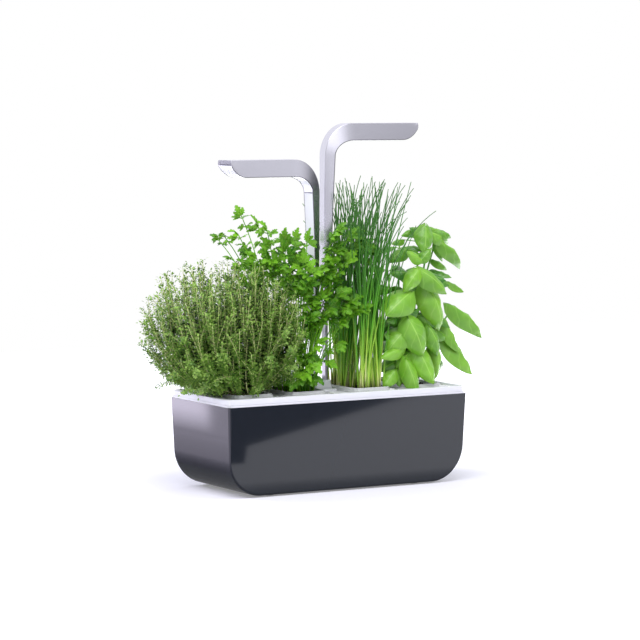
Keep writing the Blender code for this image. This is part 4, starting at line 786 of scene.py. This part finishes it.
def stem_mesh(name, length, thick, thin, slices=8, sides=5):
    """An upright tapering stem from the origin, sliced so that it can bend."""
    bm = bunch()
    bmesh.ops.create_cone(bm, cap_ends=True, segments=sides, radius1=thick, radius2=thin, depth=length)
    bmesh.ops.translate(bm, vec=(0, 0, length / 2), verts=bm.verts)
    upright = [e for e in bm.edges if abs(e.verts[0].co.z - e.verts[1].co.z) > length / 2]
    bmesh.ops.subdivide_edges(bm, edges=upright, cuts=slices)
    return to_mesh(name, bm)


def aim(place, direction, upper=Vector((0, 0, 1)), size=1.0):
    """The matrix that lays a leaf at a place, along a direction, with its upper side up."""
    along = direction.normalized()
    across = along.cross(upper)
    across = across.normalized() if across.length > 0.05 else Vector((1, 0, 0))
    turn = Matrix((across, along, across.cross(along))).transposed().to_4x4()
    return Matrix.Translation(place) @ turn @ Matrix.Scale(size, 4)


# %% Curves that stems follow
def through(root, middle, tip):
    """A curve that is drawn towards its middle point: its place and direction at a share of its way."""
    return lambda share: (root.lerp(middle, share).lerp(middle.lerp(tip, share), share),
                          (middle.lerp(tip, share) - root.lerp(middle, share)).normalized())


def bow(root, tip, knee=0.6, stray=Vector((0, 0, 0))):
    """A stem's curve, which rises from its root and then leans out to its tip."""
    middle = Vector((mix(root.x, tip.x, 0.22), mix(root.y, tip.y, 0.22), mix(root.z, tip.z, knee)))
    return through(root, middle + stray, tip)


def grow(bm, straight, curve, length, tone=None, turn=0.0):
    """Lay a bent copy of a straight stem along a curve: its height runs along the curve."""
    for vert in stamp(bm, straight, Matrix.Rotation(turn, 4, "Z"), tone):
        share = min(1.0, max(0.0, vert.co.z / length))
        place, way = curve(share)
        lean = Vector((0, 0, 1)).rotation_difference(way)
        beyond = vert.co.z - share * length
        vert.co = place + lean @ Vector((vert.co.x, vert.co.y, beyond))


def strays(chance, most):
    """A small step by chance in every direction."""
    return Vector([chance.uniform(-most, most) for _ in range(3)])


# %% [markdown]
# A leaf's green is not one colour. Young leaves are yellower, each leaf differs a little from the next, and the
# veins are paler than the blade. Light also passes through it, so its shaded side glows, which subsurface
# scattering gives. The tone of each leaf is an attribute, and the veins follow the leaf's own UV map.

# %% Leaf and stem finishes
PATCH_MM = 22.2         # width of the faint patches on leaves


def vein_lines(tree, veins, faint):
    """How strongly the midrib and the side veins show at each point of the leaf's own map."""
    where = add(tree, "ShaderNodeSeparateXYZ", {0: add(tree, "ShaderNodeUVMap", uv_map="leaf").outputs[0]}).outputs
    across = add(tree, "ShaderNodeMath", {0: where["X"], 1: 0.5}, operation="SUBTRACT")
    away = add(tree, "ShaderNodeMath", {0: across.outputs[0]}, operation="ABSOLUTE")
    # side veins slant towards the tip, so their phase falls with the distance from the midrib
    phase = add(tree, "ShaderNodeMath", {0: away.outputs[0], 1: -0.9, 2: where["Y"]}, operation="MULTIPLY_ADD")
    count = add(tree, "ShaderNodeMath", {0: phase.outputs[0], 1: veins}, operation="MULTIPLY")
    saw = add(tree, "ShaderNodeMath", {0: count.outputs[0], 1: 1.0}, operation="PINGPONG")
    side_vein = add(tree, "ShaderNodeMapRange", {0: saw.outputs[0], 1: 0.0, 2: 0.16, 3: faint, 4: 0.0})
    midrib = add(tree, "ShaderNodeMapRange", {0: away.outputs[0], 1: 0.008, 2: 0.03, 3: faint + 0.35, 4: 0.0})
    lines = add(tree, "ShaderNodeMath", {0: side_vein.outputs[0], 1: midrib.outputs[0]}, operation="MAXIMUM")
    return lines.outputs[0]


def leaf_finish(name, dark, light, vein=None, roughness=0.42, veins=5.0, glow=0.35, gloss=0.5, faint=0.55):
    """Green between two tones, which glows from behind, with paler veins if a colour is given for them."""
    material, tree, shader, coords = finish_named(
        name, Roughness=roughness, IOR=1.42, Subsurface_Weight=glow, Subsurface_Radius=(0.004, 0.006, 0.002),
        Subsurface_Scale=1.0, Specular_IOR_Level=gloss)
    tone = add(tree, "ShaderNodeAttribute", attribute_name="tone")
    patches = add(tree, "ShaderNodeTexNoise", {"Vector": coords, "Scale": 1000.0 / PATCH_MM, "Detail": 3.0})
    both = add(tree, "ShaderNodeMath", {0: tone.outputs["Fac"], 1: patches.outputs[0]}, operation="ADD")
    share = add(tree, "ShaderNodeMapRange", {0: both.outputs[0], 1: 0.35, 2: 1.65})
    green = add(tree, "ShaderNodeMix", {0: share.outputs[0], 6: hex_light(dark), 7: hex_light(light)},
                data_type="RGBA")
    if vein:
        lines = vein_lines(tree, veins, faint)
        green = add(tree, "ShaderNodeMix", {0: lines, 6: green.outputs[2], 7: hex_light(vein)}, data_type="RGBA")
        sunk = add(tree, "ShaderNodeBump", {"Height": lines, "Strength": 0.35, "Distance": 0.0008}, invert=True)
        tree.links.new(sunk.outputs[0], shader.inputs["Normal"])
    tree.links.new(green.outputs[2], shader.inputs["Base Color"])
    return material


THYME_LEAF = leaf_finish("thyme_leaf", "467628", "A8CE60", roughness=0.5, glow=0.2)
THYME_SHADE = leaf_finish("thyme_leaf_in_shade", "1E3312", "44632A", roughness=0.55, glow=0.1)
THYME_STEM = leaf_finish("thyme_stem", "BCC56C", "EBF0AE", roughness=0.55, glow=0.15)
PARSLEY_LEAF = leaf_finish("parsley_leaf", "226609", "8ACE2C", "A2D050", veins=4.0, glow=0.25, gloss=0.35)
BASIL_LEAF = leaf_finish("basil_leaf", "357E10", "94D03C", "AEDC66", 0.40, veins=6.0, gloss=1.0, faint=0.3)
print("leaf finishes are ready")

# %% [markdown]
# ## Thyme
# Thyme is a bush of thin woody stems that fan out from a patch of soil. Every few millimetres a pair of tiny
# leaves sits on the stem, each pair turned a quarter from the last, with small shoots in between. A few
# straight sprigs are built first, and bent copies of them then fill the bush.

# %% A straight sprig of thyme
def oval(along):
    return max(0.12, math.sin(math.pi * min(1.0, along * 0.92 + 0.06)))


def leaf_pair(bm, leaf, height, quarter, chance):
    """Two leaves on opposite sides of the stem, and most times a shoot of small leaves beside each."""
    place = Vector((0, 0, height))
    for k in range(2):
        angle = quarter * QUARTER + k * math.pi + chance.uniform(-0.4, 0.4)
        out = Vector((math.cos(angle), math.sin(angle), chance.uniform(0.35, 1.1)))
        stamp(bm, leaf, aim(place, out, size=chance.uniform(0.75, 1.15)), chance.random())
        if chance.random() < 0.9:
            twist = angle + chance.uniform(0.5, 1.2)
            shoot = Vector((math.cos(twist), math.sin(twist), 0.9)).normalized()
            for j in range(1, 4):
                side = Vector((math.cos(twist + j * 2), math.sin(twist + j * 2), 0.7))
                small = aim(place + shoot * 0.0026 * j, side, size=chance.uniform(0.5, 0.8))
                stamp(bm, leaf, small, chance.random())


def sprig_mesh(name, length, chance, bare=0.3):
    """A straight sprig, which is bare up to a share of its length and leafy above."""
    leaf = leaf_mesh("thyme_leaf", 0.0070, 0.0040, oval, columns=1, rows=2, fold=0.0, curl=0.6)
    bm = bunch()
    stem = stem_mesh("thyme_stem", length, 0.0009, 0.0004, slices=12, sides=4)
    stamp(bm, stem, Matrix.Identity(4), 0.5)
    for face in bm.faces:
        face.material_index = 1
    height, quarter = length * bare, 0
    while height < length:
        leaf_pair(bm, leaf, height, quarter, chance)
        quarter += 1
        height += chance.uniform(0.0048, 0.0075)
    stamp(bm, leaf, aim(Vector((0, 0, length)), Vector((0.2, 0, 1)), size=0.8), 0.9)
    return to_mesh(name, bm)


# %% [markdown]
# The bush is a fat barrel that leans out over the end of the tank and narrows to its foot. The tips of its
# sprigs are spread over it by the golden angle, as seeds are in a sunflower, so no side is bare. Outer sprigs
# reach its skin and carry side shoots, which never pass it. Darker inner sprigs fill the shade behind them.

# %% Grow the thyme
THYME_CENTRE = Vector((-0.166, 0.0, 0.222))
THYME_RADII = (0.118, 0.104, 0.116)         # metres along X, Y and Z
THYME_SKIN = (0.119, 0.105, 0.117)          # side shoots end inside these
GOLDEN_ANGLE = 2.39996
BARREL, SKIN_POWER = 0.78, 2.56             # one power fills the bush out, the other measures the same form
SPRIG, SHOOT = 0.15, 0.062                  # metres of straight sprig and shoot


def thyme_way(number, count):
    """The direction of one sprig out of many."""
    lift = 1 - (number + 0.5) / count * 1.42
    angle = number * GOLDEN_ANGLE
    flat = math.sqrt(max(0.0, 1 - lift * lift))
    return Vector((flat * math.cos(angle), flat * math.sin(angle), lift))


def thyme_tip(way, reach):
    """Where the sprig that grows that way ends."""
    waist = 1 + 0.8 * min(0.0, way.z)
    swell = [math.copysign(abs(part) ** BARREL, part) for part in way]
    swell[0], swell[1] = swell[0] * waist, swell[1] * waist
    tip = THYME_CENTRE + Vector([part * radius for part, radius in zip(swell, THYME_RADII)]) * reach
    tip.z = max(tip.z, SOIL_TOP + 0.014)
    return tip


def inside_bush(end):
    """Draw a shoot's end back into the bush."""
    out = end - THYME_CENTRE
    over = sum(abs(part / radius) ** SKIN_POWER for part, radius in zip(out, THYME_SKIN)) ** (1 / SKIN_POWER)
    end = THYME_CENTRE + out * min(1.0, 1.0 / over)
    end.z = max(end.z, SOIL_TOP + 0.012)
    return end


def thyme_bush(count, least, most, seed, shoots=0):
    """A rounded bush of sprigs whose tips lie between two shares of its radius, with short shoots off each."""
    chance = random.Random(seed)
    sprigs = [sprig_mesh(f"sprig_{k}", SPRIG, chance, bare) for k, bare in enumerate((0.18, 0.30, 0.38, 0.46))]
    short = [sprig_mesh(f"shoot_{k}", SHOOT, chance, 0.12) for k in range(3)]
    bm = bunch()
    for number in range(count):
        way = thyme_way(number, count)
        tip = thyme_tip(way, chance.uniform(least, most))
        root = Vector((CUP_X["thyme"] + 0.022 * way.x * chance.uniform(0.4, 1.1),
                       0.046 * way.y * chance.uniform(0.5, 1.1), SOIL_TOP))
        # the stems lean out low and then climb
        middle = Vector((mix(root.x, tip.x, 0.80), mix(root.y, tip.y, 0.80), mix(root.z, tip.z, 0.30)))
        middle += strays(chance, 0.012)
        middle.z = max(middle.z, SOIL_TOP + 0.008)
        curve = through(root, middle, tip)
        grow(bm, chance.choice(sprigs), curve, SPRIG, turn=chance.uniform(0, 6.3))
        for _ in range(shoots if way.x > -0.5 else shoots // 2):
            start, way = curve(chance.uniform(0.46, 0.72))
            side = through(start, start + way * 0.022, inside_bush(tip + strays(chance, 0.024)))
            grow(bm, chance.choice(short), side, SHOOT, turn=chance.uniform(0, 6.3))
    return bm


piece("thyme_outer_sprigs", thyme_bush(170, 0.88, 1.02, 11, shoots=2), "base", [THYME_LEAF, THYME_STEM],
      stands_for=["thyme_plant"])
piece("thyme_inner_sprigs", thyme_bush(190, 0.45, 0.84, 12), "base", [THYME_SHADE, THYME_STEM])

# %% [markdown]
# ## Parsley
# A parsley leaf is divided: its stalk ends in three toothed leaflets, and more leaflets stand in pairs below.
# Each leaflet is itself three toothed lobes, which are one mesh turned left and right.

# %% One parsley leaf
def toothed(along):
    tooth = 1.28 if round(along * 8) % 2 else 0.72
    return tooth * (0.10 + 0.95 * math.sin(math.pi * min(1.0, along ** 0.85)) ** 0.8)


def leaflet_mesh(name, curl):
    """A leaflet of three toothed lobes, one unit long."""
    lobe = leaf_mesh("lobe", 1.0, 0.52, toothed, columns=4, rows=8, fold=0.3, curl=curl)
    bm = bunch()
    for angle, size in ((0, 1.0), (0.80, 0.74), (-0.80, 0.74)):
        stamp(bm, lobe, Matrix.Rotation(angle, 4, "Z") @ Matrix.Scale(size, 4), 0.5)
    return to_mesh(name, bm)


STALK = 0.1             # metres of straight stalk, before it is laid along its curve
# how far down the stalk each leaflet stands and how far it spreads, in leaflets and radians, and its size
LEAFLETS = ((0.0, 0.0, 1.0), (0.22, 0.95, 0.82), (0.22, -0.95, 0.82), (1.05, 1.1, 0.66), (1.05, -1.1, 0.66))


def divided_leaf(bm, leaflets, stalk, place, way, size, chance):
    """Three leaflets at the end of a stalk and a pair of smaller ones below it."""
    side = way.cross(Vector((0, 0, 1)))
    side = side.normalized() if side.length > 0.1 else Vector((1, 0, 0))
    front = Vector((-0.35, -0.6, 0.75))
    tone = chance.uniform(0.1, 0.9)
    for back, spread, share in LEAFLETS:
        start = place - way * size * back
        sag = Vector((0, 0, chance.uniform(-0.55, 0.1)))
        lean = (way * math.cos(spread) + side * math.sin(spread) + sag).normalized()
        end = start + lean * (size * (0.30 if spread else 0.12))
        grow(bm, stalk, lambda s, a=start, b=end, d=lean: (a.lerp(b, s), d), STALK, tone)
        shift = Vector((chance.uniform(-0.5, 0.5), chance.uniform(-0.5, 0.5), chance.uniform(-0.2, 0.3)))
        laid = aim(end, lean, front + shift, size * share)
        stamp(bm, chance.choice(leaflets), laid, tone + chance.uniform(-0.12, 0.12))


# %% [markdown]
# The places of the leaves that the photograph shows are listed in millimetres, each with its size. The rest of
# the bunch is filled by chance. No leaf may stand where the lamps slide, so one that would is drawn towards
# the camera along the line of sight: it looks the same, and the mast stays free. The leaves that reach over
# the chives are a piece of their own, because the right lamp presses on them and the left one on the others.

# %% Places of the parsley's leaves
PARSLEY_SEEN = ((-140, -12, 406, 24), (-115, -20, 388, 34), (-150, -22, 378, 27), (-97, -12, 384, 28),
                (-116, -12, 340, 28), (-98, -24, 358, 30), (-78, -28, 350, 34), (-60, 0, 368, 22),
                (-42, 0, 370, 22), (-26, -8, 362, 30), (-50, -30, 334, 32), (-66, -34, 330, 30),
                (-6, -30, 322, 30), (4, -45, 284, 34), (22, -50, 262, 30), (-48, -52, 252, 26),
                (-34, -50, 217, 26), (4, -45, 214, 26), (-66, -62, 176, 26), (-50, -60, 188, 28),
                (-80, -62, 166, 24), (-46, -58, 168, 26), (17, -10, 372, 28), (13, -22, 350, 30),
                (38, -30, 354, 32), (50, -20, 372, 26), (42, -50, 266, 26), (62, -30, 356, 26),
                (-90, -28, 334, 28), (-30, -20, 300, 32), (-60, -40, 290, 30), (-14, -40, 262, 30),
                (-40, -30, 276, 30), (-16, -50, 190, 24), (-1, -50, 287, 34), (18, -50, 275, 36),
                (-12, -50, 269, 30), (26, -52, 262, 34), (24, -45, 373, 28), (53, -30, 359, 30),
                (5, -45, 382, 26), (78, -20, 348, 26), (19, -45, 337, 32), (-4, -45, 348, 30),
                (-184, -20, 374, 18), (-174, -20, 379, 18))


def beside_mast(spot):
    """Slide a leaf's place along the line of sight until it stands in front of the mast and the lamps' posts."""
    if abs(spot.x) < 0.038 and abs(spot.y) < 0.044:
        spot = spot + Vector((0.595, 1.0, -0.094)) * (-0.044 - spot.y)
    return spot


def parsley_targets(seen, others, chance):
    """Where the leaves go and how large they are: those that are seen, and others by chance."""
    targets = [(beside_mast(Vector((x, y, z)) / 1000), size * 0.72 / 1000) for x, y, z, size in seen]
    for _ in range(others):
        angle, reach, height = chance.uniform(0, 6.3), chance.uniform(0.2, 1.0) ** 0.5, chance.random()
        spot = Vector((-0.045 + reach * math.cos(angle) * mix(0.040, 0.085, height),
                       0.022 + reach * math.sin(angle) * 0.055, mix(0.19, 0.365, height)))
        targets.append((beside_mast(spot), chance.uniform(0.015, 0.022)))
    return targets


# %% Grow the parsley
def parsley_bunch(seen, others, seed):
    """A stalk to every leaf's place, and on most of the tall ones a twig with a second leaf."""
    chance = random.Random(seed)
    leaflets = [leaflet_mesh(f"leaflet_{k}", curl) for k, curl in enumerate((0.2, 0.6, 1.0))]
    stalk = stem_mesh("parsley_stalk", STALK, 0.0009, 0.0007, slices=9, sides=5)
    bm = bunch()
    for tip, size in parsley_targets(seen, others, chance):
        lean = tip.x - CUP_X["parsley"]
        root = Vector((CUP_X["parsley"] + max(-0.020, min(0.020, lean * 0.25)),
                       max(-0.048, min(0.048, tip.y * 0.8)), SOIL_TOP))
        # a low leaf hangs from a stalk that first rises above it
        curve = bow(root, tip, 1.05 if tip.z < 0.2 else 0.62)
        grow(bm, stalk, curve, STALK, chance.random())
        place, way = curve(1.0)
        divided_leaf(bm, leaflets, stalk, place, (way + Vector((0, -0.1, -0.2))).normalized(), size, chance)
        if tip.z > 0.27 and chance.random() < 0.75:
            place, way = curve(chance.uniform(0.62, 0.8))
            twist = Vector((chance.uniform(-1, 1), chance.uniform(-1, 0.6), 0.35)).normalized()
            end = place + twist * size
            grow(bm, stalk, bow(place, end, 0.5), STALK, 0.5)
            divided_leaf(bm, leaflets, stalk, end, twist, size * 0.8, chance)
    return bm


OVER_CHIVES = 12        # leaves further right than this, in mm, hang over the chives
reaching = [leaf for leaf in PARSLEY_SEEN if leaf[0] > OVER_CHIVES]
upright = [leaf for leaf in PARSLEY_SEEN if leaf[0] <= OVER_CHIVES]
parsley = piece("parsley_bunch", parsley_bunch(upright, 46, 5), "base", [PARSLEY_LEAF],
                stands_for=["parsley_plant"])
across = piece("parsley_over_chives", parsley_bunch(reaching, 0, 6), "base", [PARSLEY_LEAF])
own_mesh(across)
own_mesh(parsley)

# %% [markdown]
# ## Chives
# Chives are thin hollow tubes. They leave the soil in tight clumps, almost white at the foot, and turn deep
# green where they fan out and cross. The colour therefore follows the height.

# %% Grow the chives
def chive_finish():
    """Pale yellow that deepens to green with height, sooner or later by the tone of each tube."""
    material, tree, shader, coords = finish_named(
        "chive_tube", Roughness=0.4, IOR=1.42, Subsurface_Weight=0.2, Subsurface_Radius=(0.003, 0.004, 0.001),
        Subsurface_Scale=1.0)
    where = add(tree, "ShaderNodeSeparateXYZ", {0: coords})
    tone = add(tree, "ShaderNodeAttribute", attribute_name="tone")
    height = add(tree, "ShaderNodeMath", {0: tone.outputs["Fac"], 1: 0.11, 2: where.outputs["Z"]},
                 operation="MULTIPLY_ADD")
    level = add(tree, "ShaderNodeMapRange", {0: height.outputs[0], 1: 0.175, 2: 0.49})
    green = add(tree, "ShaderNodeValToRGB", {0: level.outputs[0]},
                stops=((0, "F4F0B4"), (0.14, "B4DA52"), (0.38, "66B02C"), (0.66, "48882C"), (1, "3C6E2A")))
    tree.links.new(green.outputs[0], shader.inputs["Base Color"])
    return material


CHIVE = chive_finish()
TUBE = 0.3              # metres of straight tube
TUBES = 200
CLUMPS = ((0.046, -0.048), (0.072, -0.040), (0.038, -0.005), (0.066, 0.012), (0.052, 0.042))
CHIVES_SEEN = ((181, -40, 408), (44, 0, 459), (36, 0, 456), (17, -10, 442), (72, 0, 462), (92, 0, 461),
               (97, 10, 458), (113, 0, 453), (116, 0, 450), (154, 0, 406), (149, -10, 397), (138, 0, 444),
               (134, 0, 432), (31, 10, 414), (54, 0, 441), (136, -20, 385))


def chive_clump():
    """Tubes in five clumps. The first ones reach the tips that the photograph shows."""
    chance = random.Random(21)
    tube = stem_mesh("chive_tube", TUBE, 0.00125, 0.0005, slices=16, sides=6)
    bm = bunch()
    for number in range(TUBES):
        x0, y0 = CLUMPS[number % len(CLUMPS)]
        root = Vector((x0 + chance.gauss(0, 0.006), y0 + chance.gauss(0, 0.006), SOIL_TOP - 0.002))
        root.x = max(0.031, min(0.082, root.x))
        root.y = max(-0.058, min(0.058, root.y))
        height = mix(0.30, 0.455, chance.random() ** 0.6)
        fan = (height - SOIL_TOP) / 0.31
        tip = Vector((0.066 + chance.gauss(0, 0.037) * fan, root.y * 0.7 + chance.gauss(0, 0.036), height))
        if number < len(CHIVES_SEEN):
            tip = Vector(CHIVES_SEEN[number]) / 1000
        # the first tube is the long one that droops over the basil
        tip.x = max(0.012, min(0.160, tip.x)) if number else tip.x
        tip.y = max(-0.088, min(0.088, tip.y))
        tone = chance.random()
        knee = chance.uniform(0.55, 0.85)
        stray = Vector((chance.uniform(-0.022, 0.022), chance.uniform(-0.014, 0.014), 0))
        grow(bm, tube, bow(root, tip, knee, stray), TUBE, tone)
    return bm


chives = piece("chive_clump", chive_clump(), "base", [CHIVE], stands_for=["chives_plant"])
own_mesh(chives)

# %% [markdown]
# ## Basil
# Basil leaves are broad, cupped downwards, and puckered between the side veins. The large ones at the front
# are placed as the photograph shows them, each by its base, its tip and its width in millimetres. The others
# stand in crossed pairs on the stems, smaller towards the top and darker, because they are in the shade.

# %% Places of the basil's stems and leaves
def ovate(along):
    return (math.sin(math.pi * min(1.0, along ** 0.74)) + 0.02) ** 0.72 if along < 0.995 else 0.05


BASIL_SEEN = ((180, -10, 382, 140, -10, 372, 18), (181, -20, 382, 227, -20, 364, 20),
              (163, -40, 385, 156, -42, 346, 30), (180, -30, 374, 212, -30, 359, 22),
              (196, -30, 360, 247, -30, 325, 20), (206, 0, 356, 222, 0, 330, 18),
              (206, 10, 331, 236, 10, 318, 18), (146, -55, 334, 122, -56, 350, 18),
              (147, -50, 334, 164, -50, 350, 18), (133, -66, 322, 106, -70, 292, 24),
              (137, -62, 322, 182, -68, 285, 30), (124, -60, 288, 76, -70, 258, 42),
              (158, -50, 298, 188, -60, 228, 40), (236, 10, 296, 263, 10, 279, 18),
              (222, -20, 262, 283, -22, 215, 24), (246, 10, 252, 261, 10, 222, 18),
              (116, -66, 248, 140, -78, 190, 42), (160, -56, 232, 178, -62, 190, 26),
              (214, -20, 233, 229, -22, 190, 24), (220, -10, 216, 256, -14, 154, 42),
              (118, -56, 232, 84, -62, 206, 36), (112, -58, 204, 72, -62, 193, 20),
              (136, -58, 204, 156, -64, 150, 36), (181, -42, 206, 183, -46, 147, 26),
              (112, -66, 186, 127, -80, 127, 26), (98, -55, 170, 79, -56, 147, 22),
              (106, -50, 170, 109, -52, 146, 17), (128, -52, 197, 102, -55, 178, 22),
              (142, -20, 350, 110, -20, 336, 22), (143, -8, 364, 122, -10, 359, 13))
BASIL_TIPS = ((182, -24, 378), (146, -46, 345), (205, 4, 348), (160, 30, 352), (128, 14, 318), (196, 46, 300),
              (226, -18, 256), (112, -50, 250))


# %% Grow the basil
def lay_leaf(bm, leaf, base, tip, width, tone):
    """One leaf from its base to its tip, upper side outwards and up."""
    run = tip - base
    out = Vector((base.x - 0.150, base.y * 1.3 - 0.02, 0.055)).normalized() + Vector((-0.25, -0.55, 0.35))
    narrowed = Matrix.Diagonal((width / run.length, 1.0, 1.0, 1.0))
    stamp(bm, leaf, aim(base, run + out * run.length * 0.25, out, run.length * 1.06) @ narrowed, tone)


def nearest_stem(stems, base):
    """The stem that passes closest to a leaf's base, and the place on it where the leaf's twig starts."""
    curve = min(stems, key=lambda c: min((c(s / 10)[0] - base).length for s in range(3, 11)))
    share = min((s / 20 for s in range(4, 21)), key=lambda s: (curve(s)[0] - base).length)
    return curve(share)[0]


def basil_pairs(bm, leaves, twig, curve, chance):
    """Five crossed pairs of leaves up a stem, without those that would hide the leaves that are seen."""
    turn = chance.uniform(0, 3)
    for level in range(5):
        place, _ = curve(0.34 + level * 0.16)
        for k in range(2):
            angle = turn + k * math.pi + level * QUARTER
            out = Vector((math.cos(angle), math.sin(angle), 0.25))
            if out.y < -0.35 and place.y < 0:
                continue
            size = mix(0.050, 0.026, level / 4) * chance.uniform(0.85, 1.1)
            base = place + out * 0.010
            grow(bm, twig, bow(place, base, 0.5), STALK, 0.6)
            tip = base + (out + Vector((0, 0, chance.uniform(-0.7, 0.1)))).normalized() * size
            tip.x = min(0.262, max(0.085, tip.x))
            tone = chance.uniform(0.0, 0.45)
            lay_leaf(bm, chance.choice(leaves), base, tip, size * 0.62, tone)


def basil_bush():
    """Eight stems, the leaves that are seen, and crossed pairs behind them."""
    chance = random.Random(8)
    leaves = [leaf_mesh(f"basil_leaf_{k}", 1.0, 1.0, ovate, columns=8, rows=12, fold=-0.46, curl=curl,
                        pucker=0.026, dome=2.0, heart=0.16) for k, curl in enumerate((0.5, 0.85, 1.2))]
    stalk = stem_mesh("basil_stem", STALK, 0.0021, 0.0013, slices=9, sides=7)
    twig = stem_mesh("basil_twig", STALK, 0.0009, 0.0007, slices=4, sides=5)
    bm = bunch()
    stems = []
    for tip in [Vector(spot) / 1000 for spot in BASIL_TIPS]:
        root = Vector((CUP_X["basil"] + (tip.x - CUP_X["basil"]) * 0.25, tip.y * 0.6, SOIL_TOP - 0.003))
        stems.append(bow(root, tip, 0.55))
        grow(bm, stalk, stems[-1], STALK, 0.4)
    for *ends, width in BASIL_SEEN:
        base, tip = Vector(ends[:3]) / 1000, Vector(ends[3:]) / 1000
        grow(bm, twig, bow(nearest_stem(stems, base), base, 0.6), STALK, 0.6)
        tone = chance.uniform(0.45, 1.0)
        lay_leaf(bm, chance.choice(leaves), base, tip, width / 1000, tone)
    for curve in stems:
        basil_pairs(bm, leaves, twig, curve, chance)
    return bm


basil = piece("basil_bush", basil_bush(), "base", [BASIL_LEAF], stands_for=["basil_plant"])
